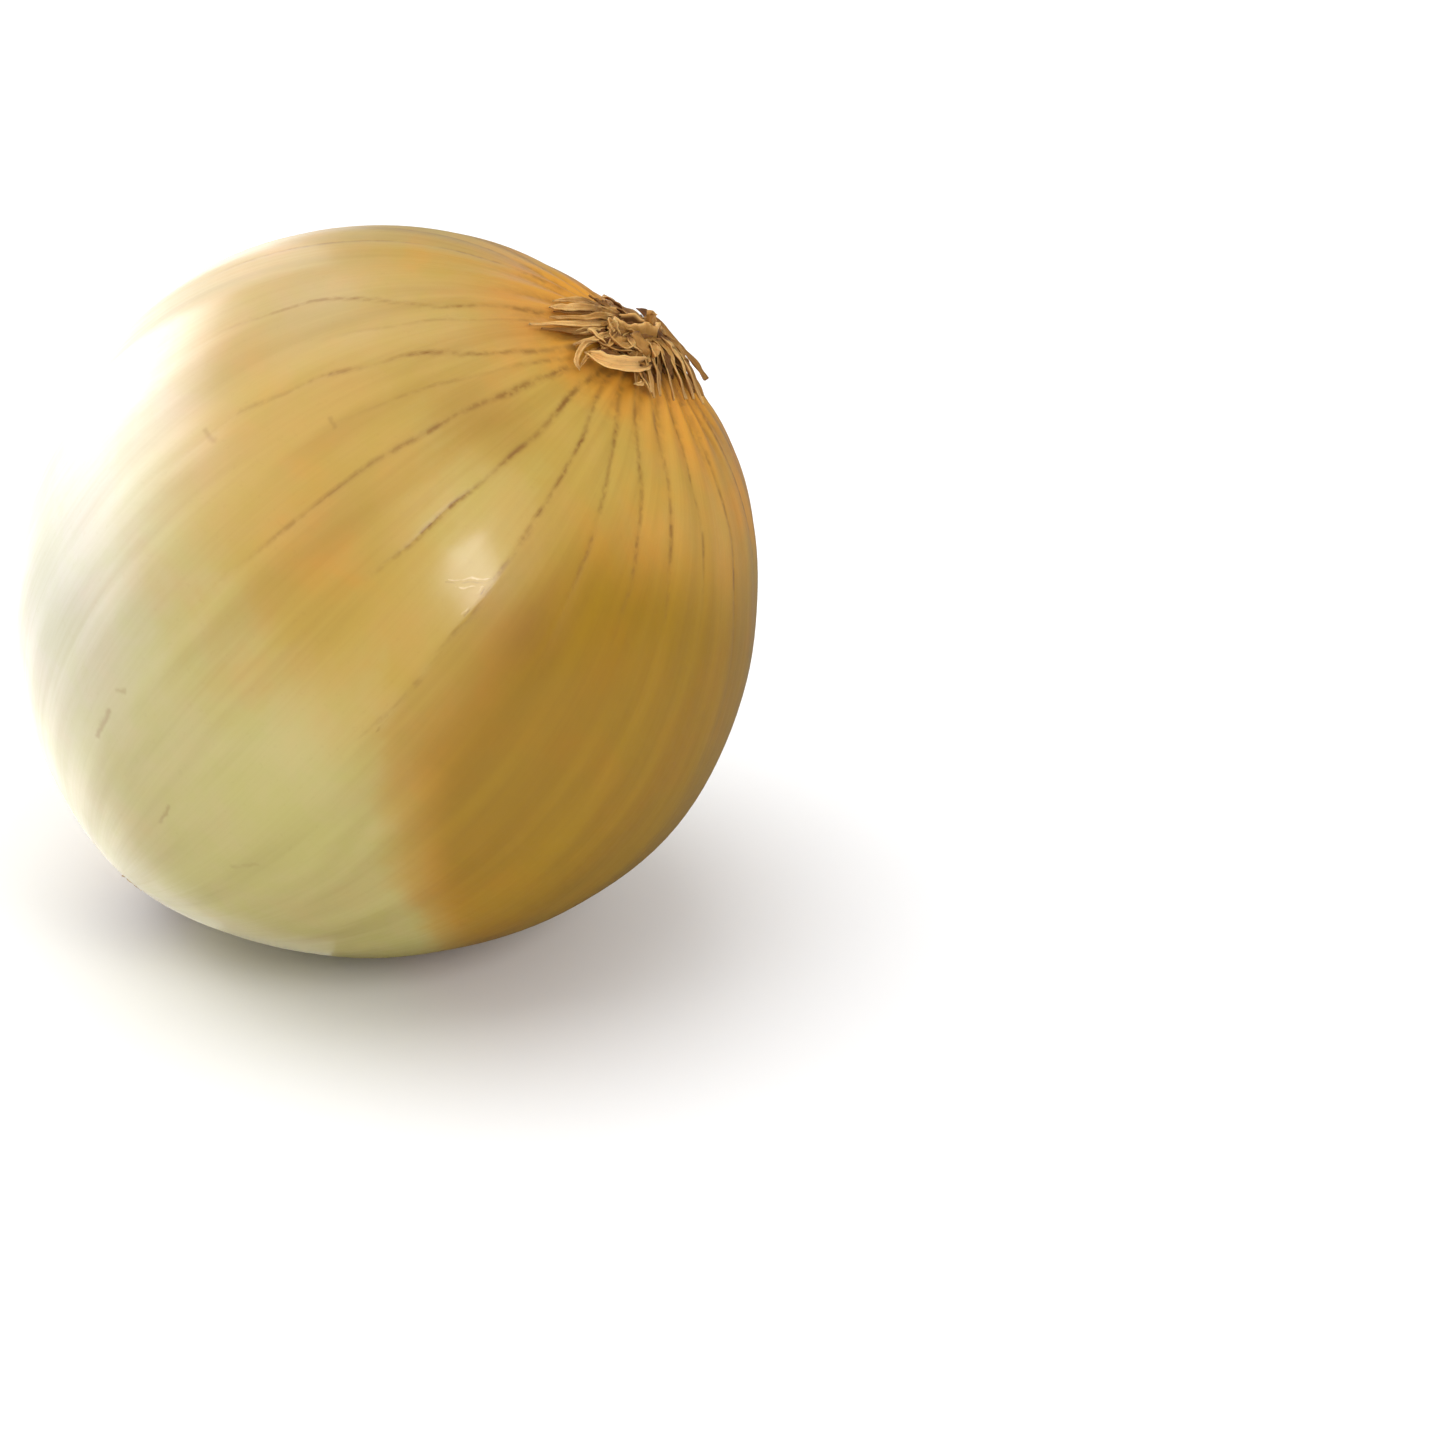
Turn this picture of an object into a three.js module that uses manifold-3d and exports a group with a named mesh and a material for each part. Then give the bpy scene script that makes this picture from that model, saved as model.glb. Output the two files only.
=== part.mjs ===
// A globe onion lying on its side: the bulb, the dried neck with its papery shreds, and the dried root tuft.
// Units are millimetres. The part's frame has +Z up and its origin at the middle of the flat spot that
// the onion rests on. Every piece is modelled in the growth frame, with the neck along +Z and the bulb's
// centre at the origin, and the growth frame is then leant over towards +X.
import * as THREE from "three";
import { mergeVertices } from "three/addons/utils/BufferGeometryUtils.js";
import Module from "manifold-3d";

const wasm = await Module();
wasm.setup();

// Bulb
const EQUATOR_RADIUS = 40.2;
const POLE_RADIUS = 40.4;
const ROOT_RISE = 1.9; // how far the lower end draws out towards the roots
const ROOT_SPREAD_DEG = 22;
// Soft swellings and flats that keep the bulb from being quite round. Directions are in the growth frame: an
// angle down from the neck and an angle round the growth axis.
const SWELLINGS = [
  { polar: 22, azimuth: 0, spread: 22, rise: 1.3 },
  { polar: 50, azimuth: 180, spread: 40, rise: 1.3 },
  { polar: 128, azimuth: -35, spread: 36, rise: -2.1 },
];
const PLEATS = 18; // ribs of skin that gather at the neck
const PLEAT_HEIGHT = 0.22;
const PLEAT_PEAK_DEG = 15;
const PLEAT_SPREAD_DEG = 14;

// How the onion lies
const LEAN_DEG = 40.5; // growth axis from the vertical
const REST_SPOT_DEPTH = 0.7; // how much the ground takes off the underside

// Dried neck: a cut stub and the shreds that fold out of it
const STUB_RADIUS = 3;
const STUB_TOP = 43.2; // from the bulb's centre
const STUB_LEAN = 2; // how far its top stands over to the high side
const STUB_HOLLOW = 1;
const STUB_RIDGES = 9;
const STUB_RIDGE = 0.3;
const STUB_TWIST_DEG = 35;
const SHRED_THICK = 0.65;
const SHRED_START_RADIUS = 1.6; // inside the stub
const SHRED_START_LIFT = 0.5;
// Each shred that shows by itself: azimuth, sweep along its length, length, width, lift of its middle,
// lift of its tip and roll about its own line.
const SHREDS = [
  { azimuth: -148, sweep: 2, length: 14.0, width: 2.4, arch: 1.0, tip: 0.7, roll: 6 },
  { azimuth: -163, sweep: 3, length: 10.7, width: 1.5, arch: 1.1, tip: 0.8, roll: -12 },
  { azimuth: -173, sweep: 4, length: 8.4, width: 1.3, arch: 1.1, tip: 0.9, roll: 12 },
  { azimuth: 174, sweep: 8, length: 6.6, width: 1.5, arch: 1.1, tip: 0.8, roll: 0 },
  { azimuth: -136, sweep: 4, length: 9.4, width: 1.6, arch: 1.0, tip: 0.9, roll: -14 },
  { azimuth: -116, sweep: -7, length: 11.6, width: 1.3, arch: 0.9, tip: 0.8, roll: 8 },
  { azimuth: -58, sweep: -66, length: 9.2, width: 3.4, arch: 2.1, tip: 1.4, roll: -22 },
  { azimuth: -84, sweep: 9, length: 5.8, width: 1.5, arch: 1.2, tip: 0.7, roll: -10 },
  { azimuth: -56, sweep: 7, length: 5.8, width: 1.5, arch: 1.3, tip: 0.8, roll: 12 },
  { azimuth: -36, sweep: 6, length: 6.8, width: 1.8, arch: 1.4, tip: 0.9, roll: -8 },
  { azimuth: -14, sweep: 8, length: 8.2, width: 2.2, arch: 1.5, tip: 1.1, roll: 10 },
  { azimuth: 14, sweep: 6, length: 8.6, width: 2.2, arch: 1.4, tip: 0.9, roll: -12 },
  { azimuth: 50, sweep: -20, length: 10.3, width: 3.4, arch: 2.2, tip: 1.4, roll: 10 },
  { azimuth: 84, sweep: -4, length: 6.8, width: 2.0, arch: 2.4, tip: 2.6, roll: 28 },
  { azimuth: 106, sweep: 12, length: 8.4, width: 2.4, arch: 1.4, tip: 1.2, roll: -14 },
  { azimuth: 130, sweep: -10, length: 9.2, width: 1.5, arch: 1.0, tip: 0.8, roll: 10 },
  { azimuth: 154, sweep: 8, length: 6.6, width: 2.2, arch: 1.5, tip: 1.5, roll: -18 },
];

// Root tuft: the basal plate and the dried root stubs
const PLATE_RADIUS = 6.2;
const PLATE_THICK = 1;
const ROOT_RINGS = [
  // stubs in the ring, where they leave the plate, length, and how high they arch
  { count: 6, start: 1.3, length: 1.6, arch: 1.8 },
  { count: 11, start: 2.7, length: 2.2, arch: 1.6 },
  { count: 16, start: 3.9, length: 2.7, arch: 1.25 },
  { count: 19, start: 4.9, length: 2.9, arch: 0.95 },
];
const ROOT_THICK = 0.42;
const ROOT_TILT_DEG = 26; // most that a stub turns aside

// What two pieces that touch keep between them
const GAP = 0.3;

// Facets
const BULB_SEGMENTS = PLEATS * 4;
const BULB_RINGS = 40;
const STUB_SEGMENTS = STUB_RIDGES * 4;
const SHRED_STATIONS = 6;
const ROOT_STATIONS = 3;

const radians = THREE.MathUtils.degToRad;
const bell = (distance, spread) => Math.exp(-((distance / spread) ** 2));

// A number from 0 to 1 that is always the same for the same pair of counts.
function draw(item, trait) {
  const wave = Math.sin(item * 12.9898 + trait * 78.233 + 4.1) * 43758.5453;
  return wave - Math.floor(wave);
}

// The outward direction at an angle down from the neck and an angle round the growth axis.
function direction(polar, azimuth) {
  const out = new THREE.Vector3().setFromSphericalCoords(1, polar, azimuth);
  return new THREE.Vector3(out.z, out.x, out.y); // three.js measures these angles from +Y
}

// The bulb's radius at an angle down from the neck and an angle round the growth axis.
function bulbRadius(polar, azimuth) {
  const side = Math.sin(polar) ** 2;
  const root = ROOT_RISE * bell(Math.PI - polar, radians(ROOT_SPREAD_DEG));
  const gathered = bell(polar - radians(PLEAT_PEAK_DEG), radians(PLEAT_SPREAD_DEG));
  const pleat = PLEAT_HEIGHT * gathered * side ** 0.25 * Math.cos(PLEATS * azimuth);
  const out = direction(polar, azimuth);
  const swelling = SWELLINGS.reduce((sum, swell) => {
    const away = out.angleTo(direction(radians(swell.polar), radians(swell.azimuth)));
    return sum + swell.rise * bell(away, radians(swell.spread));
  }, 0);
  return POLE_RADIUS + (EQUATOR_RADIUS - POLE_RADIUS) * side + root + pleat + swelling;
}

function bulbPoint(polar, azimuth, lift = 0) {
  return direction(polar, azimuth).multiplyScalar(bulbRadius(polar, azimuth) + lift);
}

// A closed mesh from rings of points: every ring has the same count, and each end closes on its middle.
function closedLoft(rings) {
  const count = rings[0].length;
  const middle = (ring) => ring.reduce((sum, p) => sum.add(p), new THREE.Vector3()).divideScalar(count);
  const points = [...rings.flat(), middle(rings[0]), middle(rings.at(-1))];
  const [firstEnd, lastEnd] = [points.length - 2, points.length - 1];
  const lastRing = (rings.length - 1) * count;
  const index = [];
  for (let i = 0; i < count; i++) {
    const next = (i + 1) % count;
    index.push(firstEnd, next, i);
    index.push(lastEnd, lastRing + i, lastRing + next);
    for (let r = 0; r < lastRing; r += count) {
      index.push(r + i, r + next, r + count + next);
      index.push(r + i, r + count + next, r + count + i);
    }
  }
  return new THREE.BufferGeometry().setFromPoints(points).setIndex(index);
}

function solidOf(geometry) {
  const bare = geometry.clone();
  bare.deleteAttribute("normal");
  bare.deleteAttribute("uv");
  const merged = mergeVertices(bare, 1e-4);
  const vertProperties = new Float32Array(merged.getAttribute("position").array);
  const triVerts = new Uint32Array(merged.getIndex().array);
  const solid = new wasm.Manifold(new wasm.Mesh({ numProp: 3, vertProperties, triVerts }));
  if (solid.volume() > 0) return solid;
  for (let i = 0; i < triVerts.length; i += 3) triVerts.subarray(i, i + 3).reverse();
  return new wasm.Manifold(new wasm.Mesh({ numProp: 3, vertProperties, triVerts }));
}

function geometryOf(solid) {
  const { vertProperties, triVerts } = solid.getMesh();
  const geometry = new THREE.BufferGeometry();
  geometry.setAttribute("position", new THREE.BufferAttribute(vertProperties, 3));
  geometry.setIndex(new THREE.BufferAttribute(triVerts, 1));
  geometry.computeVertexNormals();
  return geometry;
}

const fuse = (geometries) => geometries.map(solidOf).reduce((whole, piece) => whole.add(piece));
const largestBody = (solid) => solid.decompose().reduce((a, b) => (b.volume() > a.volume() ? b : a));

// The bulb's surface, raised by a margin, as one closed mesh.
function bulbSurface(margin) {
  const rings = [];
  for (let r = 1; r < BULB_RINGS; r++) {
    const share = r / BULB_RINGS;
    const polar = Math.PI * (share - 0.05 * Math.sin(2 * Math.PI * share)); // closer rings at both ends
    const ring = [];
    for (let s = 0; s < BULB_SEGMENTS; s++) {
      ring.push(bulbPoint(polar, (2 * Math.PI * s) / BULB_SEGMENTS, margin));
    }
    rings.push(ring);
  }
  return closedLoft(rings);
}

// The growth frame in the part's frame: leant towards +X, with the rest spot on the ground.
function growthFrame() {
  const frame = new THREE.Group();
  frame.rotation.y = radians(LEAN_DEG);
  frame.position.z = bulbRadius(Math.PI - radians(LEAN_DEG), 0) - REST_SPOT_DEPTH;
  frame.updateMatrixWorld(true);
  return frame;
}

// The bulb, flat where it meets the ground.
function makeBulb(frame) {
  const reach = 4 * EQUATOR_RADIUS;
  const ground = new THREE.BoxGeometry(reach, reach, reach).translate(0, 0, -reach / 2);
  ground.applyMatrix4(frame.matrixWorld.clone().invert());
  return solidOf(bulbSurface(0)).subtract(solidOf(ground));
}

// The cut end of the neck: a short ridged column, slightly twisted and leaning, with a hollow in its top.
function stubSurface() {
  const foot = POLE_RADIUS - 2;
  const rim = STUB_TOP;
  // height from the bulb's centre, and share of the stub's radius
  const outline = [
    [foot, 1.7],
    [rim - 2.1, 1.55],
    [rim - 1.5, 1.15],
    [rim - 0.7, 0.98],
    [rim, 1.06],
    [rim - 0.15, 0.72],
    [rim - STUB_HOLLOW, 0.35],
  ];
  return closedLoft(
    outline.map(([height, share]) => {
      const climb = (height - foot) / (rim - foot);
      const twist = radians(STUB_TWIST_DEG) * climb;
      const ring = [];
      for (let s = 0; s < STUB_SEGMENTS; s++) {
        const azimuth = (2 * Math.PI * s) / STUB_SEGMENTS;
        const ridge = STUB_RIDGE * share * Math.cos(STUB_RIDGES * (azimuth - twist));
        const radius = STUB_RADIUS * share + ridge;
        const x = radius * Math.cos(azimuth) - STUB_LEAN * climb;
        ring.push(new THREE.Vector3(x, radius * Math.sin(azimuth), height));
      }
      return ring;
    }),
  );
}

// Points of a strand that starts inside what it grows from and lies out along the bulb.
function strandLine(azimuth, sweep, start, length, startLift, arch, tip, stations, polarAt) {
  const line = [];
  for (let k = 0; k <= stations; k++) {
    const s = k / stations;
    const away = (start + length * s) / EQUATOR_RADIUS;
    const lift = startLift * (1 - s) ** 2 + arch * 2 * s * (1 - s) + tip * s ** 2;
    line.push(bulbPoint(polarAt(away), azimuth + sweep * s ** 1.5, lift));
  }
  return line;
}

// The directions across and out of a strand at each of its points.
function strandFrames(line, roll) {
  return line.map((point, k) => {
    const ahead = line[Math.min(k + 1, line.length - 1)].clone().sub(line[Math.max(k - 1, 0)]).normalize();
    const across = new THREE.Vector3().crossVectors(point, ahead).normalize();
    across.applyAxisAngle(ahead, roll);
    return { point, across, out: new THREE.Vector3().crossVectors(ahead, across).normalize() };
  });
}

// A papery shred: a thin cupped blade that narrows to its tip.
function shredBlade(shred) {
  const line = strandLine(
    radians(shred.azimuth),
    radians(shred.sweep),
    SHRED_START_RADIUS,
    shred.length,
    SHRED_START_LIFT,
    shred.arch,
    shred.tip,
    SHRED_STATIONS,
    (away) => away,
  );
  const rings = strandFrames(line, radians(shred.roll)).map(({ point, across, out }, k) => {
    const s = k / SHRED_STATIONS;
    const fullness = Math.sin(Math.PI * Math.min(1, 0.28 + 0.72 * s)) ** 0.8;
    const half = 0.5 * shred.width * (0.22 + 0.78 * fullness);
    const cup = 0.3 * half;
    const at = (side, rise) => point.clone().addScaledVector(across, side).addScaledVector(out, rise);
    const top = SHRED_THICK / 2;
    return [
      at(-half, cup + top), at(0, top), at(half, cup + top),
      at(half, cup - top), at(0, -top), at(-half, cup - top),
    ];
  });
  return closedLoft(rings);
}

function makeNeck(clearance) {
  const fused = fuse([stubSurface(), ...SHREDS.map(shredBlade)]);
  return largestBody(fused.subtract(clearance));
}

// The basal plate, a low button on the bulb's lower end.
function plateSurface() {
  const outline = [
    [-2, 1],
    [PLATE_THICK * 0.5, 1],
    [PLATE_THICK * 0.9, 0.78],
    [PLATE_THICK, 0.4],
  ];
  return closedLoft(
    outline.map(([lift, share]) => {
      const ring = [];
      for (let s = 0; s < STUB_SEGMENTS; s++) {
        const polar = Math.PI - (PLATE_RADIUS * share) / EQUATOR_RADIUS;
        ring.push(bulbPoint(polar, (2 * Math.PI * s) / STUB_SEGMENTS, lift));
      }
      return ring;
    }),
  );
}

// One dried root: a three-sided tapering stub.
function rootStub(line) {
  const rings = strandFrames(line, 0).map(({ point, across, out }, k) => {
    const radius = ROOT_THICK * (1 - (0.45 * k) / (line.length - 1));
    return [90, 210, 330].map((deg) => {
      const turn = radians(deg);
      const side = radius * Math.cos(turn);
      return point.clone().addScaledVector(across, side).addScaledVector(out, radius * Math.sin(turn));
    });
  });
  return closedLoft(rings);
}

function makeRoots(clearance) {
  const pieces = [plateSurface()];
  ROOT_RINGS.forEach((ring, level) => {
    for (let i = 0; i < ring.count; i++) {
      const item = level * 50 + i;
      const azimuth = (2 * Math.PI * (i + 0.5 * (level % 2) + 0.4 * draw(item, 1))) / ring.count;
      const sweep = radians(ROOT_TILT_DEG) * (2 * draw(item, 2) - 1);
      const length = ring.length * (0.75 + 0.5 * draw(item, 3));
      const tip = 0.85 + (ring.arch - 0.85) * draw(item, 4);
      const line = strandLine(
        azimuth, sweep, ring.start - 1.2, length + 1.2, 0.5, ring.arch + 0.8, tip, ROOT_STATIONS,
        (away) => Math.PI - away,
      );
      pieces.push(rootStub(line));
    }
  });
  return largestBody(fuse(pieces).subtract(clearance));
}

const MATERIALS = {
  golden_skin: new THREE.MeshStandardMaterial({ color: 0xcba55b, roughness: 0.32, metalness: 0 }),
  dried_neck: new THREE.MeshStandardMaterial({ color: 0xb98a4e, roughness: 0.75, metalness: 0 }),
  dried_root: new THREE.MeshStandardMaterial({ color: 0x8f6a3e, roughness: 0.85, metalness: 0 }),
};

function namedMesh(name, solid, material) {
  const mesh = new THREE.Mesh(geometryOf(solid), material);
  mesh.name = name;
  return mesh;
}

const growth = growthFrame();
const clearance = solidOf(bulbSurface(GAP));
growth.add(
  namedMesh("bulb", makeBulb(growth), MATERIALS.golden_skin),
  namedMesh("dried_neck", makeNeck(clearance), MATERIALS.dried_neck),
  namedMesh("root_tuft", makeRoots(clearance), MATERIALS.dried_root),
);

const onion = new THREE.Group();
onion.add(growth);

export default onion;
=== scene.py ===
import math

import bpy
import numpy as np
from bpy.props import FloatProperty, FloatVectorProperty, IntProperty, PointerProperty
from mathutils import Matrix, Vector


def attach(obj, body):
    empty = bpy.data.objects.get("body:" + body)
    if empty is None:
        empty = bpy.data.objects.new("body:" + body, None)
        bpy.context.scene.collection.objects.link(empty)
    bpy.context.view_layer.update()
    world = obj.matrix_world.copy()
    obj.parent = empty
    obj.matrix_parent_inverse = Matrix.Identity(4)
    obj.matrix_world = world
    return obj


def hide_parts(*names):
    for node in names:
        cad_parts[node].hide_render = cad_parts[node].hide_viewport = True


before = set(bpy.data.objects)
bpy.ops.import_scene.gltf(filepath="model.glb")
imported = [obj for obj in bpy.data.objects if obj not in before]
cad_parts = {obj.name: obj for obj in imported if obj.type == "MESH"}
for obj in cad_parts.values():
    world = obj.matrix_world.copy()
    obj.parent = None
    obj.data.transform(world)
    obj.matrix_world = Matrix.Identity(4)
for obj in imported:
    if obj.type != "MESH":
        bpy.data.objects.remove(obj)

bl_info = {
    "name": "Onion",
    "version": (1, 0, 0),
    "blender": (4, 5, 0),
    "location": "3D View > Sidebar > Onion",
    "description": "Dresses a whole globe onion: dry skin, neck with papery shreds, dried roots and a stage",
    "category": "Object",
}

MM = 0.001

# ---- The bulb's form, in millimetres ----
# Directions are in the growth frame: an angle down from the neck (polar) and an angle round the growth axis
# (azimuth). The growth frame leans over towards +X.
EQUATOR_RADIUS = 40.2
POLE_RADIUS = 40.4
ROOT_RISE = 1.9
ROOT_SPREAD = math.radians(22)
# polar, azimuth, spread (degrees) and rise of each soft swelling or flat
SWELLINGS = [(22, 0, 22, 1.3), (50, 180, 40, 1.3), (128, -35, 36, -2.1)]
LEAN = math.radians(40.5)
REST_SPOT_DEPTH = 0.7

# Each vein: polar and azimuth (degrees) of points along it, from the neck down, then how dark it is and how
# wide (mm).
VEINS = [
    ([(10, -152), (27, -154.9), (35, -155), (45, -161.4), (52, -164.3), (72, -165)], 0.7, 0.2),
    ([(12, -146), (36, -150), (45, -151.7), (57, -155)], 0.3, 0.18),
    ([(12, -128), (25, -132.5), (39, -141.2), (44, -143.7), (59, -146.1), (78, -148)], 0.85, 0.22),
    ([(12, -121), (30, -130), (43, -133.9), (64, -137.2)], 0.45, 0.18),
    ([(12, -118), (29, -122.9), (34, -123.4), (43, -125.9), (60, -126.7), (90, -128)], 1.0, 0.25),
    ([(10, -110), (20, -112.2), (36, -110.1), (44, -110.7), (64, -112.4), (76, -112.6)], 0.95, 0.23),
    ([(10, -104), (17, -106), (29, -99.5), (40, -98.3), (47, -98.2), (56, -97.8)], 0.85, 0.23),
    ([(9, -99), (14, -96.5), (24, -90.8), (35, -86), (58, -83)], 0.85, 0.22),
    ([(9, -90), (22, -80.9), (30, -75.4), (36, -73.6), (58, -70)], 0.8, 0.22),
    ([(9, -76), (14, -73.4), (21, -68.2), (26, -64.3), (54, -58)], 0.75, 0.22),
    ([(9, -58), (16, -54), (30, -50), (50, -47)], 0.7, 0.2),
    ([(9, -38), (17, -35.2), (34, -33), (62, -31)], 0.75, 0.22),
    ([(47, -98.2), (51.5, -97.6), (60.4, -97.2), (68.5, -97.1), (74, -97)], 0.75, 0.16),
    ([(74, -96.8), (78.8, -96.7), (81.8, -96.6), (88, -96.4)], 0.6, 0.14),
]
# A fold in the skin: the skin stands proud of it on its near side and falls away on the far side.
CREASE = [(38, -98.2), (51.5, -97.5), (60.4, -97.1), (68.5, -97.6), (76, -96.7), (88, -96.3)]
# Where the skin turns from golden or pale on the near side to amber on the far side.
AMBER_EDGE = [(10, -104), (38, -98.2), (60.4, -97.1), (82, -95.6), (91, -88.5), (104, -74.5)]
AMBER_EDGE += [(121, -48), (150, -12)]
# Soft patches of the skin: polar, azimuth and spread (degrees), and how much riper they are.
PATCHES = [
    (58, -112, 12, -0.12),
    (72, -118, 14, 0.12),
    (82, -132, 13, 0.13),
    (30, -96, 8, -0.16),
    (76, -102, 8, -0.2),
    (50, -72, 9, 0.06),
    (66, -140, 8, 0.1),
    (88, -124, 9, -0.12),
]
# Duller patches, in the same way
DULL_PATCHES = [
    (41, -125, 7, 0.5),
    (37, -114, 6, 0.4),
    (25, -142, 8, 0.2),
    (56, -142, 18, 0.2),
    (70, -119, 12, 0.26),
    (59, -88, 6, 0.45),
    (66, -92, 8, 0.22),
    (70, 60, 12, 0.3),
]
# Dry patches where the skin is pale and greyish: partly the dry skin's own colour, partly a painted sheen
# where the glare of the left softbox falls
WAN_AND_SHEEN_PATCHES = [
    (110, -155, 25, 0.9),
    (84, -162, 13, 0.45),
    (52, -166, 12, 0.25),
    (32, -152, 12, 0.12),
    (80, 178, 18, 0.4),
    (95, 40, 24, 0.35),
]
# Small scratches: polar and azimuth of both ends, half-width (mm) and how dark the scratch is, or with a
# minus how light. The light ones are painted highlights on crinkles by the fold, and the dark one just
# beside them painted shade.
SCRATCHES = [
    ((114.8, -128.7), (120.5, -128.7), 0.55, 0.42),
    ((110.7, -129.7), (109.5, -128.2), 0.5, 0.3),
    ((119.0, -110.8), (123.6, -110.1), 0.42, 0.34),
    ((120.3, -95.9), (116.2, -93.6), 0.55, 0.2),
    ((74.0, -148.7), (73.8, -145.9), 0.55, 0.3),
    ((58.1, -137.7), (58.4, -135.9), 0.45, 0.35),
    ((25.2, -120.0), (21.9, -120.8), 0.5, 0.45),
    ((58.6, -97.9), (64.0, -97.5), 0.2, 0.75),
    # Painted highlights on crinkles by the fold, with a painted shade line beside them
    ((56.3, -97.9), (60.9, -103.4), 0.17, -0.75),
    ((58.3, -98.4), (61.2, -101.6), 0.17, -0.7),
    ((57.1, -98.0), (61.7, -103.5), 0.15, 0.4),
    ((58.4, -98.6), (64.2, -97.9), 0.2, -0.6),
    ((80.5, -96.7), (85.4, -96.5), 0.22, 0.5),
    ((96.0, 24.0), (99.5, 26.5), 0.25, 0.5),
    ((84.0, 108.0), (87.5, 106.0), 0.3, 0.4),
    ((121.0, 62.0), (124.0, 66.5), 0.28, 0.45),
]


def bell(distance, spread):
    return np.exp(-((distance / spread) ** 2))


def smooth(low, high, value):
    """0 below low, 1 above high and an even curve between them."""
    t = np.clip((value - low) / (high - low), 0, 1)
    return t * t * (3 - 2 * t)


def window(value, low, full, waning, high):
    """1 from full to waning, 0 below low and above high, and even curves between."""
    return smooth(low, full, value) * (1 - smooth(waning, high, value))


def draw(item, trait):
    """A number from 0 to 1 that is always the same for the same pair of counts."""
    return math.modf(abs(math.sin(item * 12.9898 + trait * 78.233 + 4.1) * 43758.5453))[0]


def spread_of(item, trait, low, high):
    return low + (high - low) * draw(item, trait)


def direction(polar, azimuth):
    polar, azimuth = np.broadcast_arrays(polar, azimuth)
    ring = np.sin(polar)
    return np.stack([ring * np.cos(azimuth), ring * np.sin(azimuth), np.cos(polar)], axis=-1)


def patches_over(out, patches):
    """The sum of round, soft-edged patches over the bulb's directions."""
    total = np.zeros(out.shape[:-1])
    for polar, azimuth, spread, amount in patches:
        middle = direction(math.radians(polar), math.radians(azimuth))
        total += amount * bell(np.arccos(np.clip(out @ middle, -1, 1)), math.radians(spread))
    return total


def bulb_radius(polar, azimuth):
    radius = POLE_RADIUS + (EQUATOR_RADIUS - POLE_RADIUS) * np.sin(polar) ** 2
    radius = radius + ROOT_RISE * bell(math.pi - polar, ROOT_SPREAD)
    return radius + patches_over(direction(polar, azimuth), SWELLINGS)


CENTRE_HEIGHT = float(bulb_radius(math.pi - LEAN, 0.0)) - REST_SPOT_DEPTH
TO_ROW = np.array(
    [
        [math.cos(LEAN), 0, math.sin(LEAN)],
        [0, 1, 0],
        [-math.sin(LEAN), 0, math.cos(LEAN)],
    ]
)


def in_row_frame(points):
    """Growth-frame points in millimetres as row-frame points in metres."""
    return (points @ TO_ROW.T + np.array([0, 0, CENTRE_HEIGHT])) * MM


def ripples(out, scale, seed, count=7):
    """An even, rounded unevenness from -1 to 1 over the bulb's directions."""
    total = np.zeros(out.shape[:-1])
    for k in range(count):
        item = seed * 31 + k
        wave = np.array([draw(item, 1) - 0.5, draw(item, 2) - 0.5, draw(item, 3) - 0.5])
        wave *= scale * (0.6 + 0.8 * draw(item, 4)) / np.linalg.norm(wave)
        total += np.sin(out @ wave + 6.28 * draw(item, 5))
    return total / (0.62 * count)


def all_veins():
    """The veins of the near side as listed, and seeded ones round the rest."""
    veins = list(VEINS)
    azimuth = -16.0
    item = 0
    while azimuth < 190:
        item += 1
        drift = spread_of(item, 21, -5, 5)
        end = spread_of(item, 22, 46, 84)
        path = [(9, azimuth - 0.5 * drift), (22, azimuth), (0.5 * (22 + end), azimuth + 0.4 * drift)]
        path.append((end, azimuth + drift))
        veins.append((path, spread_of(item, 23, 0.4, 0.95), spread_of(item, 24, 0.18, 0.25)))
        azimuth += spread_of(item, 25, 9, 19)
    return veins


def vein_distance(polar, azimuth, path):
    """How far aside of a vein a point lies, in millimetres, and how far along the vein it is, from 0 to 1."""
    stops = np.radians([p for p, _ in path])
    line = np.interp(polar, stops, np.radians([a for _, a in path]))
    aside = (azimuth - line + math.pi) % (2 * math.pi) - math.pi
    along = (polar - stops[0]) / (stops[-1] - stops[0])
    return aside * np.sin(polar) * EQUATOR_RADIUS, along


# The skin's own relief over the bulb's form (mm)
VEIN_GROOVE = 0.15
VEIN_GROOVE_REACH = 2.6
# How far a vein sways to each side (radians)
VEIN_SWAY = 0.012
# How many waves lie round the bulb, their seed and their height
SOFT_WAVES = [(7, 1, 0.18), (15, 2, 0.1)]
# Lengthwise bands: how many, the waves and the seed of their sway
BANDS = [(11, 3, 20), (17, 4, 21)]
BAND_HEIGHT = 0.07
BAND_SWAY = 1.8
FOLD_HEIGHT = 0.42
FOLD_NEAR_REACH = 6.5
FOLD_FAR_REACH = 2.6
COLLAR_HEIGHT = 0.5
COLLAR_SPREAD = math.radians(8)
# Ribs that gather at the neck, and the shade between them
RIBS = 24
RIB_SWAY = 2.2
RIB_HEIGHT = 0.2
RIBS_AT, RIBS_SPREAD = np.radians([13, 8])
RIB_SHADE = 0.32
SHADE_AT, SHADE_SPREAD = np.radians([14, 9])


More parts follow.
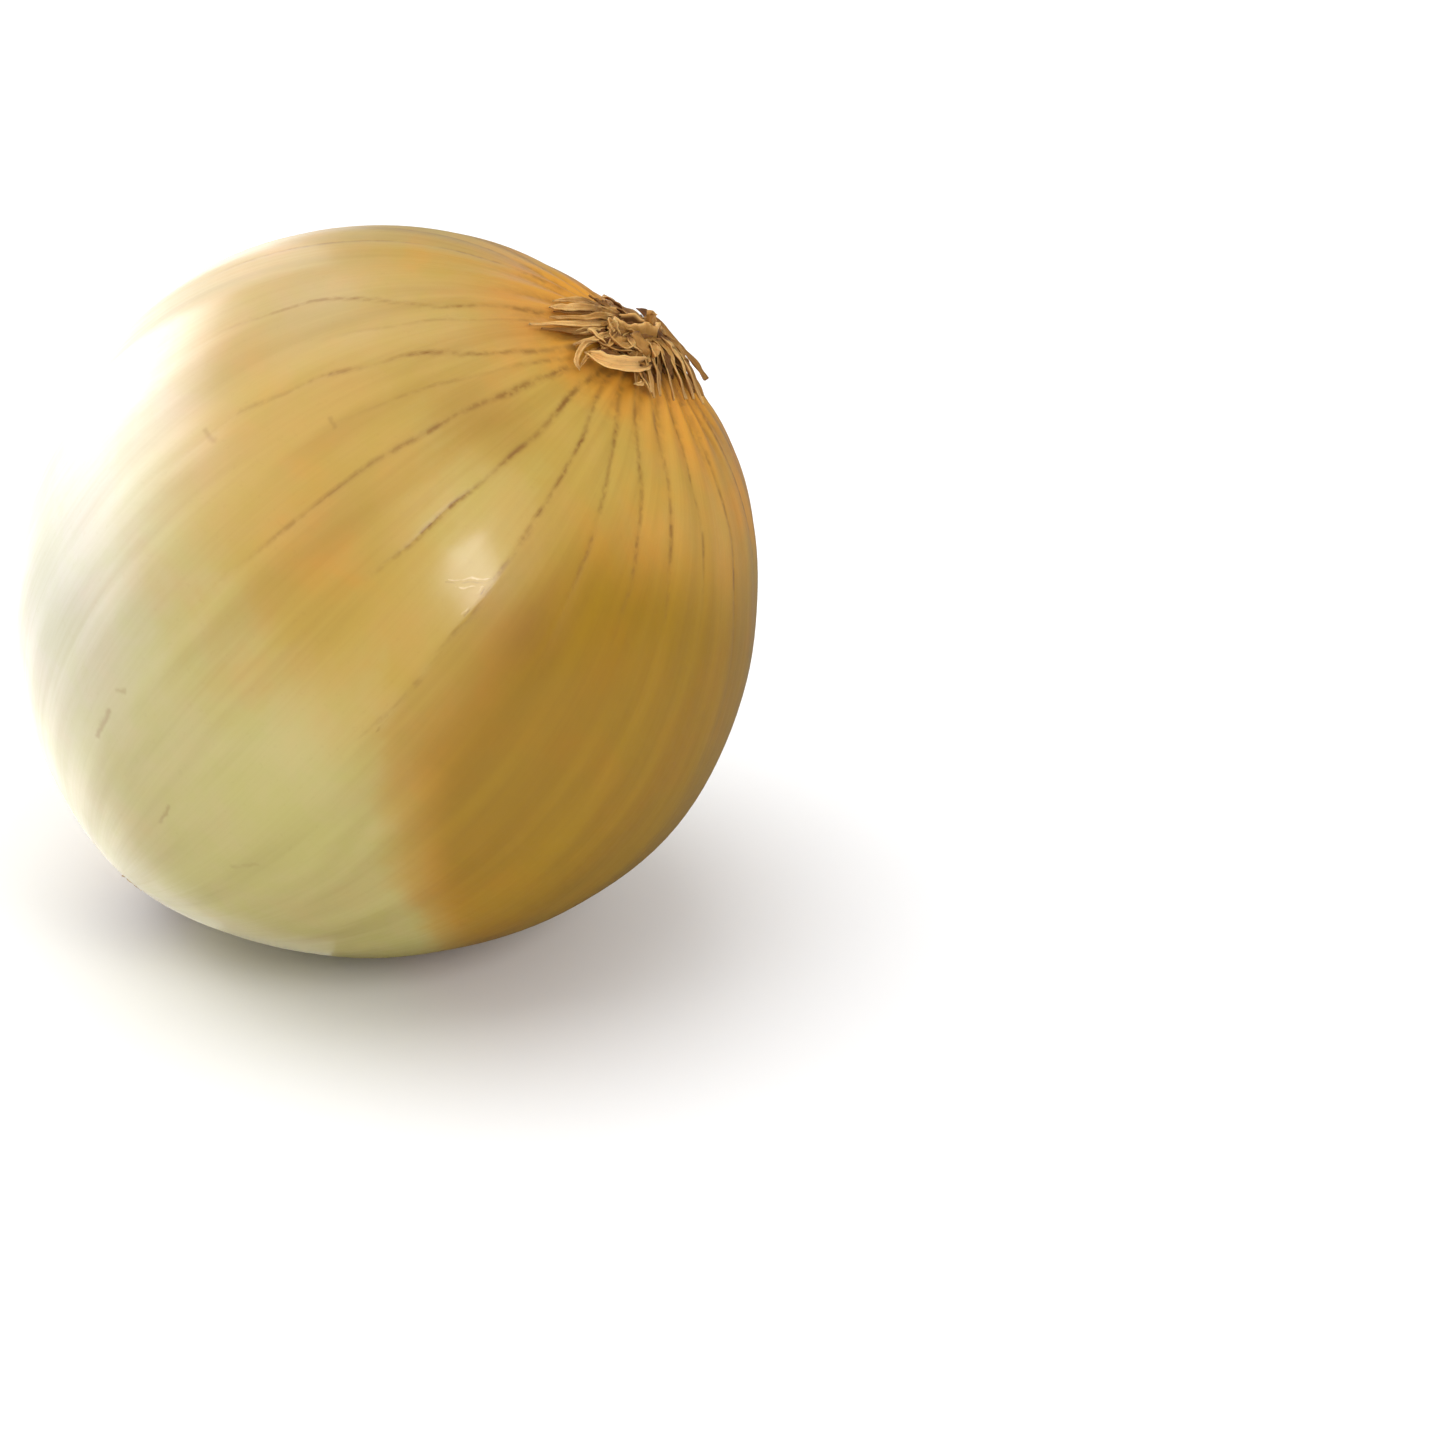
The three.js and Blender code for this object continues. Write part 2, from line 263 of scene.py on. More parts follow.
def skin_relief(polar, azimuth):
    """The skin's own relief over the bulb's form, in millimetres, and the darkness of its veins and of the
    painted shade between the ribs at the neck.
    """
    out = direction(polar, azimuth)
    dark = np.zeros(polar.shape)
    groove = np.zeros(polar.shape)
    for item, (path, strength, width) in enumerate(all_veins()):
        away, along = vein_distance(polar, azimuth + VEIN_SWAY * ripples(out, 26, 50 + item), path)
        inside = window(along, -0.02, 0.06, 0.62, 1.0)
        dotted = 0.68 + 0.42 * ripples(out, 60, 90 + item)
        wide = width * (1.15 + 1.3 * (1 - smooth(0.0, 0.4, along)))
        dark = np.maximum(dark, strength * inside * dotted * bell(away, wide))
        reach = window(along, -0.02, 0.2, 0.9, 1.5)
        groove = np.maximum(groove, strength * reach * np.exp(-np.abs(away) / VEIN_GROOVE_REACH))
    relief = -VEIN_GROOVE * groove
    for waves, seed, height in SOFT_WAVES:
        relief += height * ripples(out, waves, seed)
    banded = window(polar, 0.1, 0.5, 2.3, 2.9)
    for count, waves, seed in BANDS:
        banded *= np.sin(count * azimuth + BAND_SWAY * ripples(out, waves, seed))
    relief += BAND_HEIGHT * banded
    aside, along = vein_distance(polar, azimuth, CREASE)
    fold = window(along, 0.1, 0.45, 0.75, 1.15)
    fall = np.where(aside < 0, np.exp(aside / FOLD_NEAR_REACH), np.exp(-aside / FOLD_FAR_REACH))
    relief += FOLD_HEIGHT * fold * fall
    relief += COLLAR_HEIGHT * bell(polar, COLLAR_SPREAD)
    ribs = np.cos(RIBS * azimuth + RIB_SWAY * ripples(out, 5, 3)) * smooth(0, 0.1, polar)
    relief += RIB_HEIGHT * ribs * bell(polar - RIBS_AT, RIBS_SPREAD)
    # Painted shade in the grooves between the ribs, kept with the veins' darkness
    shade = RIB_SHADE * (0.5 - 0.5 * ribs) ** 2
    dark = np.maximum(dark, shade * bell(polar - SHADE_AT, SHADE_SPREAD))
    return relief, np.clip(dark, 0, 1)


# ---- Settings ----
def colour(name, about, value):
    kind = {"subtype": "COLOR", "size": 3, "min": 0, "max": 1}
    return FloatVectorProperty(name=name, description=about, default=value, **kind)


def length(name, about, value, least):
    return FloatProperty(name=name, description=about, default=value, min=least, unit="LENGTH")


class OnionSizes(bpy.types.PropertyGroup):
    """Sizes, in metres, and counts that a user would change."""

    shred_thickness: length("Shred thickness", "Thickness of the papery shreds", 0.00012, 0.00005)
    slivers: IntProperty(name="Slivers", description="Fine strips round the neck", default=90, min=0)
    roots: IntProperty(name="Roots", description="Dried roots on the plate", default=120, min=0)
    root_thickness: length("Root thickness", "Thickness of a root at the plate", 0.00055, 0.0001)


class OnionColours(bpy.types.PropertyGroup):
    """Colours a user would change."""

    # Darkest amber past the fold: partly the skin's own colour, partly painted shade over its lower side
    shaded_deep_amber: colour("Deep amber skin", "Skin past the fold", (0.36, 0.19, 0.001))
    amber: colour("Amber skin", "Skin round the neck", (0.68, 0.288, 0.031))
    golden: colour("Golden skin", "Skin over the upper half", (0.5, 0.315, 0.062))
    pale: colour("Pale skin", "Skin over the lower half", (0.49, 0.41, 0.14))
    # Vein colour, also used for the painted shade between the ribs at the neck
    vein_and_rib_shade: colour("Veins", "Thin veins in the skin", (0.24, 0.11, 0.018))
    paper: colour("Dry paper", "Papery shreds", (0.44, 0.215, 0.042))
    paper_light: colour("Bleached paper", "Edges and tips of the shreds", (0.75, 0.445, 0.155))
    # Dark paper for fibres and specks, also used for the painted shade at the neck
    dark_paper_and_shade: colour("Dark paper", "Creases at the neck", (0.11, 0.038, 0.007))
    root: colour("Dried root", "Roots", (0.42, 0.29, 0.15))
    plate: colour("Root plate", "Corky plate that the roots grow from", (0.12, 0.062, 0.028))
    floor: colour("Floor", "Floor under the onion", (0.9, 0.9, 0.9))


# ---- Modelling helpers ----
def keep_only(*pieces):
    bpy.ops.object.select_all(action="DESELECT")
    for piece in pieces:
        piece.select_set(True)
    bpy.context.view_layer.objects.active = pieces[0]


def fresh(add, name, **settings):
    """A new primitive, alone in the selection."""
    bpy.ops.object.select_all(action="DESELECT")
    add(**settings)
    piece = bpy.context.object
    piece.name = piece.data.name = name
    return piece


def sheet_of(name, columns, rows, size=1, **settings):
    """A new flat square sheet, alone in the selection."""
    add = bpy.ops.mesh.primitive_grid_add
    return fresh(add, name, x_subdivisions=columns, y_subdivisions=rows, size=size, **settings)


def points_of(piece):
    points = np.zeros(3 * len(piece.data.vertices))
    piece.data.vertices.foreach_get("co", points)
    return points.reshape(-1, 3)


def reshape(piece, points):
    piece.data.vertices.foreach_set("co", np.asarray(points, float).ravel())
    piece.data.update()


def copy_of(piece, name):
    twin = piece.copy()
    twin.data = piece.data.copy()
    twin.name = twin.data.name = name
    bpy.context.collection.objects.link(twin)
    return twin


def join(pieces, name):
    keep_only(*pieces)
    bpy.ops.object.join()
    whole = bpy.context.object
    whole.name = whole.data.name = name
    return whole


def repeated(pattern, name, shape, rows):
    """One piece made of many copies of a pattern, each shaped by its own row of settings."""
    made = []
    for item, *settings in rows:
        twin = copy_of(pattern, f"{name}_{item}")
        shape(twin, item, *settings)
        made.append(twin)
    bpy.data.objects.remove(pattern)
    return join(made, name)


def mark(piece, name, values):
    """A value for every point, for materials to read."""
    attribute = piece.data.attributes.new(name, "FLOAT", "POINT")
    attribute.data.foreach_set("value", np.asarray(values, np.float32).ravel())


def finish_piece(piece, material, node):
    """Applies what shapes the piece, smooths it, gives it its material, attaches it to the root body and
    hides the CAD part of its node.
    """
    keep_only(piece)
    for modifier in list(piece.modifiers):
        bpy.ops.object.modifier_apply(modifier=modifier.name)
    bpy.ops.object.shade_smooth()
    piece.data.materials.clear()
    piece.data.materials.append(material)
    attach(piece, "root")
    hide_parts(node)


# ---- Material helpers and shared effects ----
class Bench:
    """Adds and links the nodes of one material or group."""

    def __init__(self, tree):
        self.tree = tree

    def node(self, kind, **settings):
        made = self.tree.nodes.new("ShaderNode" + kind)
        for name, value in settings.items():
            setattr(made, name, value)
        return made

    def feed(self, socket, source):
        if hasattr(source, "is_output"):
            self.tree.links.new(source, socket)
        else:
            socket.default_value = source

    def fill(self, node, **inputs):
        """Feeds a node's inputs by their names, with _ for a space."""
        for name, source in inputs.items():
            self.feed(node.inputs[name.replace("_", " ")], source)
        return node

    def math(self, operation, first, second=0.0, third=None, clamp=False):
        made = self.node("Math", operation=operation, use_clamp=clamp)
        self.feed(made.inputs[0], first)
        self.feed(made.inputs[1], second)
        if third is not None:
            self.feed(made.inputs[2], third)
        return made.outputs[0]

    def vector(self, operation, first, second, scale=None):
        made = self.node("VectorMath", operation=operation)
        self.feed(made.inputs[0], first)
        self.feed(made.inputs[1], second)
        if scale is not None:
            self.fill(made, Scale=scale)
        return made.outputs["Value" if operation in ("DOT_PRODUCT", "LENGTH") else "Vector"]

    def parts(self, vector):
        """The X, Y and Z of a vector."""
        made = self.node("SeparateXYZ")
        self.feed(made.inputs[0], vector)
        return made.outputs

    def ramp(self, value, low, high, start=0.0, end=1.0):
        made = self.node("MapRange", interpolation_type="SMOOTHSTEP")
        self.fill(made, Value=value, From_Min=low, From_Max=high, To_Min=start, To_Max=end)
        return made.outputs["Result"]

    def mix(self, share, first, second, blend="MIX"):
        made = self.node("Mix", data_type="RGBA", blend_type=blend)
        self.feed(made.inputs["Factor"], share)
        self.feed(made.inputs[6], first)
        self.feed(made.inputs[7], second)
        return made.outputs[2]

    def tinted(self, share, body, tint):
        """The body's colour, multiplied by a tint for that share."""
        return self.mix(share, body, self.mix(1.0, body, rgba(tint), "MULTIPLY"))

    def varied(self, value, noise, amount):
        """A value moved up and down by a noise from 0 to 1."""
        return self.math("MULTIPLY_ADD", self.math("SUBTRACT", noise, 0.5), amount, value)

    def noise(self, vector, scale, detail=3.0, rough=0.55, twist=0.0):
        made = self.node("TexNoise")
        self.fill(made, Vector=vector, Scale=scale, Detail=detail, Roughness=rough, Distortion=twist)
        return made.outputs["Fac"]

    def attribute(self, name):
        return self.node("Attribute", attribute_name=name).outputs["Fac"]

    def coordinate(self, name):
        return self.node("TexCoord").outputs[name]


def rgba(value):
    return (*value, 1.0)


def mottling(bench, ins, outs):
    """Soft patches and small specks, as dry skin has."""
    patches = bench.noise(ins["Vector"], ins["Patch size"], 4.0, 0.6, 0.4)
    specks = bench.noise(ins["Vector"], ins["Speck size"], 2.0, 0.5)
    bench.feed(outs["Patches"], bench.ramp(patches, 0.34, 0.68))
    bench.feed(outs["Specks"], bench.ramp(specks, 0.62, 0.74))


def fibres(bench, ins, outs):
    """Fine lines that run lengthwise: V of the UV map runs along them."""
    parts = bench.parts(ins["Vector"])
    across = bench.math("MULTIPLY", parts["X"], ins["Across"])
    along = bench.math("MULTIPLY", parts["Y"], ins["Along"])
    for label, share in (("Lines", 1.0), ("Broad lines", 0.22)):
        drawn = bench.fill(bench.node("CombineXYZ"), X=bench.math("MULTIPLY", across, share), Y=along)
        bench.feed(outs[label], bench.noise(drawn.outputs[0], 1.0, 3.0, 0.6, 0.25))


def scratch(bench, ins, outs):
    """A short straight mark from Start to End, 1 along its line and 0 away from it."""
    line = bench.vector("SUBTRACT", ins["End"], ins["Start"])
    from_start = bench.vector("SUBTRACT", ins["Vector"], ins["Start"])
    reached = bench.vector("DOT_PRODUCT", from_start, line)
    share = bench.math("DIVIDE", reached, bench.vector("DOT_PRODUCT", line, line), clamp=True)
    nearest = bench.vector("SCALE", line, (0, 0, 0), share)
    away = bench.vector("LENGTH", bench.vector("SUBTRACT", from_start, nearest), (0, 0, 0))
    bench.feed(outs["Mark"], bench.ramp(away, 0.0, ins["Width"], 1.0, 0.0))


# Each shared effect: what fills its group, the group's inputs and its outputs
EFFECTS = {
    "Mottling": (
        mottling,
        {"Vector": "Vector", "Patch size": "Float", "Speck size": "Float"},
        ["Patches", "Specks"],
    ),
    "Fibres": (fibres, {"Vector": "Vector", "Across": "Float", "Along": "Float"}, ["Lines", "Broad lines"]),
    "Scratch": (
        scratch,
        {"Vector": "Vector", "Start": "Vector", "End": "Vector", "Width": "Float"},
        ["Mark"],
    ),
}


def group_of(name):
    """The node group of a shared effect, built when it is first asked for."""
    if name in bpy.data.node_groups:
        return bpy.data.node_groups[name]
    fill, inputs, outputs = EFFECTS[name]
    group = bpy.data.node_groups.new(name, "ShaderNodeTree")
    for label, kind in inputs.items():
        group.interface.new_socket(label, in_out="INPUT", socket_type="NodeSocket" + kind)
    for label in outputs:
        group.interface.new_socket(label, in_out="OUTPUT", socket_type="NodeSocketFloat")
    ins = group.nodes.new("NodeGroupInput").outputs
    outs = group.nodes.new("NodeGroupOutput").inputs
    fill(Bench(group), ins, outs)
    return group


def use_effect(bench, name, **values):
    """The outputs of a shared effect in this material, with the material's own values."""
    made = bench.node("Group", node_tree=group_of(name))
    return bench.fill(made, **values).outputs


def new_material(name):
    material = bpy.data.materials.new(name)
    material.use_nodes = True
    bench = Bench(material.node_tree)
    shader = material.node_tree.nodes["Principled BSDF"]
    return material, bench, shader


def bump(bench, shader, height, strength, distance):
    made = bench.fill(bench.node("Bump"), Strength=strength, Distance=distance, Height=height)
    bench.fill(shader, Normal=made.outputs["Normal"])


def on_skin(polar, azimuth):
    """A point of the skin, in the row frame."""
    polar, azimuth = math.radians(polar), math.radians(azimuth)
    return tuple(in_row_frame(direction(polar, azimuth) * bulb_radius(polar, azimuth)))


def scratches(bench, place):
    """How dark and how light the small, slightly wavering scratches make the skin; the light ones are painted
    highlights.
    """
    rough = bench.fill(bench.node("TexNoise"), Vector=place, Scale=600.0)
    shift = bench.vector("SUBTRACT", rough.outputs["Color"], (0.5, 0.5, 0.5))
    wavering = bench.vector("ADD", place, bench.vector("SCALE", shift, (0, 0, 0), 0.001))
    dark, light = 0.0, 0.0
    for start, end, width, depth in SCRATCHES:
        start, end = on_skin(*start), on_skin(*end)
        seen = use_effect(bench, "Scratch", Vector=wavering, Start=start, End=end, Width=width * MM)[0]
        seen = bench.math("MULTIPLY", seen, abs(depth))
        if depth > 0:
            dark = bench.math("MAXIMUM", seen, dark)
        else:
            light = bench.math("MAXIMUM", seen, light)
    return dark, light


# Tints that the skin's colour is multiplied by
DULL_TINT = (0.74, 0.66, 0.5)
OLIVE_TINT = (0.92, 1.0, 0.72)
ROSY_TINT = (1.06, 0.96, 0.98)
FIBRE_TINT = (0.74, 0.62, 0.45)
# Colours that cover it
# Pale grey of dry skin, partly a painted sheen
WAN_AND_SHEEN = (0.44, 0.405, 0.33)
# Painted highlight on the crinkles by the fold
CRINKLE_HIGHLIGHT = (0.8, 0.62, 0.36)
# Burnt brown round the root, also used as painted shade under the neck's shreds
SCORCH_AND_NECK_SHADE = (0.17, 0.065, 0.02)


def skin_body(bench, place, uv, patches, broad):
    """The skin's colour, from pale to amber, with its dull and pale dry patches and soft clouds; the darkest
    amber past the fold is partly painted shade and the pale patches partly a painted sheen.
    """
    tints = bpy.context.scene.onion_colours
    warmed = bench.varied(bench.attribute("ripeness"), patches, 0.24)
    streaked = bench.varied(warmed, broad, 0.12)
    upper = bench.mix(bench.ramp(streaked, 0.5, 1.0), rgba(tints.golden), rgba(tints.amber))
    ripe = bench.mix(bench.ramp(streaked, 0.0, 0.5), rgba(tints.pale), upper)
    deepened = bench.mix(bench.attribute("deep_and_shade"), ripe, rgba(tints.shaded_deep_amber))
    body = bench.mix(bench.attribute("wan_and_sheen"), deepened, rgba(WAN_AND_SHEEN))
    bands = use_effect(bench, "Fibres", Vector=uv, Across=34.0, Along=2.6)["Lines"]
    banded = bench.ramp(bands, 0.42, 0.68, 0.0, 0.45)
    dulled = bench.tinted(bench.math("ADD", bench.attribute("dull"), banded, clamp=True), body, DULL_TINT)
    clouds = bench.noise(place, 115.0, 3.0, 0.6, 0.3)
    greener = bench.tinted(bench.ramp(clouds, 0.4, 0.62, 0.0, 0.45), dulled, OLIVE_TINT)
    return bench.tinted(bench.ramp(clouds, 0.46, 0.3, 0.0, 0.4), greener, ROSY_TINT)


def skin_material():
    """Glossy dry skin: amber at the neck, golden above, pale below, with veins and fine fibres."""
    tints = bpy.context.scene.onion_colours
    material, bench, shader = new_material("Onion skin")
    place = bench.coordinate("Object")
    uv = bench.coordinate("UV")
    patches, specks = use_effect(bench, "Mottling", Vector=place, Patch_size=55.0, Speck_size=1500.0)[:2]
    lines, broad = use_effect(bench, "Fibres", Vector=uv, Across=420.0, Along=7.0)[:2]
    body = skin_body(bench, place, uv, patches, broad)
    lined = bench.tinted(bench.ramp(lines, 0.35, 0.75, 0.0, 0.1), body, FIBRE_TINT)
    speckled = bench.mix(bench.math("MULTIPLY", specks, 0.05), lined, rgba(tints.vein_and_rib_shade))
    dark = bench.attribute("vein_and_rib_shade")
    gaps = bench.ramp(bench.noise(place, 900.0, 2.0), 0.36, 0.6, 0.35, 1.0)
    broken = bench.math("MULTIPLY", dark, bench.math("MULTIPLY", gaps, 1.2), clamp=True)
    scratched, lightened = scratches(bench, place)
    veined = bench.mix(bench.math("MAXIMUM", broken, scratched), speckled, rgba(tints.vein_and_rib_shade))
    crinkle_lit = bench.mix(lightened, veined, rgba(CRINKLE_HIGHLIGHT))
    scorched_and_shaded = bench.mix(bench.attribute("scorch_and_neck_shade"), crinkle_lit, rgba(SCORCH_AND_NECK_SHADE))
    gloss = bench.math("MULTIPLY_ADD", patches, 0.06, bench.ramp(lines, 0.3, 0.8, 0.36, 0.42))
    bench.fill(shader, Base_Color=scorched_and_shaded, Roughness=gloss, Specular_IOR_Level=0.45)
    bench.fill(shader, Coat_Weight=0.45, Coat_Roughness=0.2, Coat_IOR=1.5)
    bench.fill(shader, Subsurface_Weight=0.1, Subsurface_Radius=(1.0, 0.55, 0.2), Subsurface_Scale=0.003)
    relief = bench.math("MULTIPLY_ADD", lines, 0.35, bench.noise(place, 420.0, 3.0))
    relief = bench.math("SUBTRACT", relief, bench.math("MULTIPLY", dark, 1.2))
    relief = bench.math("MULTIPLY_ADD", lightened, 1.6, relief)
    bump(bench, shader, relief, 0.3, 0.00012)
    return material


def paper_material():
    """Dry, crumpled paper with lengthwise fibres, light at its edges and tips, and darkened with painted
    shade where the shreds spring from the neck, where they lie low under others and in the stub's hollow.
    """
    tints = bpy.context.scene.onion_colours
    material, bench, shader = new_material("Dry neck paper")
    place = bench.coordinate("Object")
    uv = bench.coordinate("UV")
    patches, specks = use_effect(bench, "Mottling", Vector=place, Patch_size=420.0, Speck_size=3200.0)[:2]
    lines, broad = use_effect(bench, "Fibres", Vector=uv, Across=22.0, Along=1.6)[:2]
    toned = bench.varied(bench.varied(bench.attribute("bleach"), broad, 0.8), patches, 0.4)
    body = bench.mix(bench.ramp(toned, 0.05, 1.0), rgba(tints.paper), rgba(tints.paper_light))
    lined = bench.mix(bench.ramp(lines, 0.48, 0.7, 0.0, 0.6), body, rgba(tints.dark_paper_and_shade))
    speckled = bench.mix(bench.math("MULTIPLY", specks, 0.3), lined, rgba(tints.dark_paper_and_shade))
    # Painted shade at the neck
    painted_shaded = bench.math("MULTIPLY", bench.attribute("painted_shade_and_brown"), 0.95)
    painted_shaded = bench.mix(painted_shaded, speckled, rgba(tints.dark_paper_and_shade))
    bench.fill(shader, Base_Color=painted_shaded, Roughness=bench.ramp(lines, 0.3, 0.8, 0.5, 0.78))
    bench.fill(shader, Specular_IOR_Level=0.3)
    bench.fill(shader, Subsurface_Weight=0.2, Subsurface_Radius=(1.0, 0.5, 0.2), Subsurface_Scale=0.0006)
    bump(bench, shader, bench.math("ADD", lines, bench.noise(place, 2600.0, 2.0)), 0.6, 0.00008)
    return material


STRAW = (0.62, 0.47, 0.28)


def root_material():
    """Wiry dried roots, straw to brown, darker where they leave the plate."""
    tints = bpy.context.scene.onion_colours
    material, bench, shader = new_material("Dried root")
    place = bench.coordinate("Object")
    patches, specks = use_effect(bench, "Mottling", Vector=place, Patch_size=500.0, Speck_size=2600.0)[:2]
    body = bench.mix(bench.ramp(patches, 0.2, 0.9), rgba(tints.root), rgba(STRAW))
    speckled = bench.mix(bench.math("MULTIPLY", specks, 0.45), body, rgba(tints.plate))
    # The same value browns the plate and the roots towards the plate
    aged = bench.mix(bench.attribute("painted_shade_and_brown"), speckled, rgba(tints.plate))
    bench.fill(shader, Base_Color=aged, Roughness=0.82, Specular_IOR_Level=0.25)
    bump(bench, shader, bench.noise(place, 1800.0, 3.0), 0.7, 0.0001)
    return material


FLOOR_SHADE = (0.8, 0.8, 0.8)
# What the skin reflects of the floor is dimmed to this colour, by this much at most, between these places (m)
FLOOR_REFLECTED = (0.1, 0.1, 0.1)
MOST_DIMMED = 0.95
DIM_FROM = -0.09
DIM_TO = 0.02


def floor_material():
    """Pale and nearly even, with its reflection dimmed towards +X."""
    tints = bpy.context.scene.onion_colours
    material, bench, shader = new_material("Pale floor")
    place = bench.coordinate("Object")
    uneven = bench.ramp(bench.noise(place, 6.0, 2.0), 0.3, 0.7, 0.0, 0.03)
    tone = bench.mix(uneven, rgba(tints.floor), rgba(FLOOR_SHADE))
    dimmed = bench.ramp(bench.parts(place)["X"], DIM_FROM, DIM_TO, 0, MOST_DIMMED)
    dim = bench.math("MULTIPLY", bench.node("LightPath").outputs["Is Glossy Ray"], dimmed)
    body = bench.mix(dim, tone, rgba(FLOOR_REFLECTED))
    bench.fill(shader, Base_Color=body, Roughness=0.85, Specular_IOR_Level=0.1)
    return material


# ---- Stage ----
# The camera looks from this far above the horizon, and the middle of the bulb lies at BULB_AT (pixels from
# the left and from the top) in a square frame.
VIEW_ELEVATION = math.radians(27)
LENS = 120.0
SENSOR = 36.0
FRAME_SIDE = 1440
BULB_AT = (384.3, 604.2)
PIXELS_PER_MM = 9.15
FLOOR_SIDE = 6
FLOOR_CELLS = 8
FLOOR_DROP = 0.0001


def place_camera():
    data = bpy.data.cameras.new("camera")
    data.lens, data.sensor_width = LENS, SENSOR
    data.clip_start, data.clip_end = 0.01, 50
    camera = bpy.data.objects.new("camera", data)
    bpy.context.collection.objects.link(camera)
    focal = LENS / SENSOR * FRAME_SIDE
    back = Vector((0, -math.cos(VIEW_ELEVATION), math.sin(VIEW_ELEVATION)))
    up = Vector((0, math.sin(VIEW_ELEVATION), math.cos(VIEW_ELEVATION)))
    level = Matrix((Vector((1, 0, 0)), up, back)).transposed()
    seen = level @ Vector((BULB_AT[0] - FRAME_SIDE / 2, FRAME_SIDE / 2 - BULB_AT[1], -focal))
    turn = seen.rotation_difference(-back).to_matrix()
    camera.rotation_mode = "QUATERNION"
    camera.rotation_quaternion = (turn @ level).to_quaternion()
    camera.location = Vector((0, 0, CENTRE_HEIGHT * MM)) + back * (focal / PIXELS_PER_MM * MM)
    bpy.context.scene.camera = camera


def place_softbox(name, location, target, width, height, power, diffuse=True, glossy=True):
    data = bpy.data.lights.new(name, "AREA")
    data.shape, data.size, data.size_y = "RECTANGLE", width, height
    data.energy = power
    light = bpy.data.objects.new(name, data)
    light.location = location
    light.rotation_mode = "QUATERNION"
    light.rotation_quaternion = (Vector(location) - Vector(target)).to_track_quat("Z", "Y")
    light.visible_diffuse, light.visible_glossy, light.visible_camera = diffuse, glossy, False
    bpy.context.collection.objects.link(light)


# A large soft light at the left, brightest in its middle: nested boxes, each a step behind the last so that
# none hides another. Places and sizes in metres; a glow is a box's power over pi and its area.
LEFT_SIZES = [(0.92, 0.56), (0.8, 0.46), (0.68, 0.36), (0.56, 0.26)]
LEFT_PLACE = (0.37, 0.25)
LEFT_STEP = 0.004
# name, place along X, glow and whether it lights the surface as well as shining on it
LEFT_KINDS = [("softbox", -0.45, 0.3, True), ("sheen", -0.452, 1.5, False)]
# Boxes that only shine on the surface: name, place, what they face (None is the bulb), width, height, power
SHEENS = [
    ("back_sheen", (-0.36, 0.6, 0.21), (-0.36, 0, 0.21), 0.56, 0.4, 1.0),
    ("high_sheen", (-0.2, 0.34, 0.74), None, 0.36, 0.3, 0.5),
    ("far_sheen", (0.1, 0.7, 0.16), (0.1, 0, 0.16), 0.4, 0.3, 0.12),
]
# Boxes that lie on the floor at the left and shine on the bulb's lower side, each a step on from the last
LOW_COUNT = 4
LOW_PLACE = (-0.306, 0.278, 0.0015)
LOW_STEP = (-0.013, 0.006, 0.0008)
LOW_SIDE = 0.6
LOW_POWER = 0.42


def place_lights():
    middle = (0, 0, CENTRE_HEIGHT * MM)
    for k, (width, height) in enumerate(LEFT_SIZES):
        for kind, x, glow, diffuse in LEFT_KINDS:
            spot = (x - LEFT_STEP * k, *LEFT_PLACE)
            power = glow * (width * height * math.pi)
            place_softbox(f"left_{kind}_{k}", spot, (0, *LEFT_PLACE), width, height, power, diffuse=diffuse)
    for name, spot, target, *settings in SHEENS:
        place_softbox(name, spot, target or middle, *settings, diffuse=False)
    for k in range(LOW_COUNT):
        spot = tuple(start + step * k for start, step in zip(LOW_PLACE, LOW_STEP))
        above = (*spot[:2], 1)
        place_softbox(f"low_sheen_{k}", spot, above, LOW_SIDE, LOW_SIDE, LOW_POWER, diffuse=False)
    place_softbox("near_lamp", (0.3, -0.5, 0.44), middle, 0.22, 0.22, 1.45)
    place_softbox("top_fill", (-0.35, -0.05, 1.2), middle, 1.4, 1.4, 12.2, glossy=False)


def light_world():
    """An even pale sky, a little brighter towards +X, that shows in reflections mostly from -X."""
    world = bpy.data.worlds.new("studio")
    world.use_nodes = True
    bpy.context.scene.world = world
    bench = Bench(world.node_tree)
    shade = world.node_tree.nodes["Background"]
    sideways = bench.parts(bench.coordinate("Generated"))["X"]
    strength = bench.node("Mix", data_type="FLOAT")
    bench.fill(strength, Factor=bench.node("LightPath").outputs["Is Glossy Ray"])
    bench.feed(strength.inputs[2], bench.ramp(sideways, 1.0, -1.0, 0.68, 0.6))
    bench.feed(strength.inputs[3], bench.ramp(sideways, 0.2, -1.0, 0.04, 0.3))
    bench.fill(shade, Color=(0.97, 0.98, 1.0, 1), Strength=strength.outputs[0])


class ONION_OT_stage(bpy.types.Operator):
    """Add the camera, the pale floor and the soft studio light"""

    bl_idname = "onion.stage"
    bl_label = "Stage"

    def execute(self, context):
        place_camera()
        floor = sheet_of("floor", FLOOR_CELLS, FLOOR_CELLS, FLOOR_SIDE, location=(0, 0, -FLOOR_DROP))
        bpy.ops.object.transform_apply(location=True, rotation=True, scale=True)
        floor.data.materials.append(floor_material())
        light_world()
        place_lights()
        context.scene.view_settings.view_transform = "Standard"
        return {"FINISHED"}


# ---- Bulb ----
SKIN_SEGMENTS = 880
SKIN_RINGS = 108
END_CROWDING = 0.075
# Where the skin is burnt brown: within an edge round the root, which wavers. Towards the neck the same dark
# brown is painted shade under the shreds.
ROOT_SCORCH_EDGE = math.radians(9.3)
ROOT_SCORCH_WAVER = math.radians(1.6)
NECK_SHADE = np.radians([5, 11.5])


def angles_of(sheet):
    """Polar and azimuth for each point of a flat unit sheet that is to be wrapped round the bulb."""
    flat = points_of(sheet)
    return math.pi * (0.5 - flat[:, 1]), 2 * math.pi * flat[:, 0]


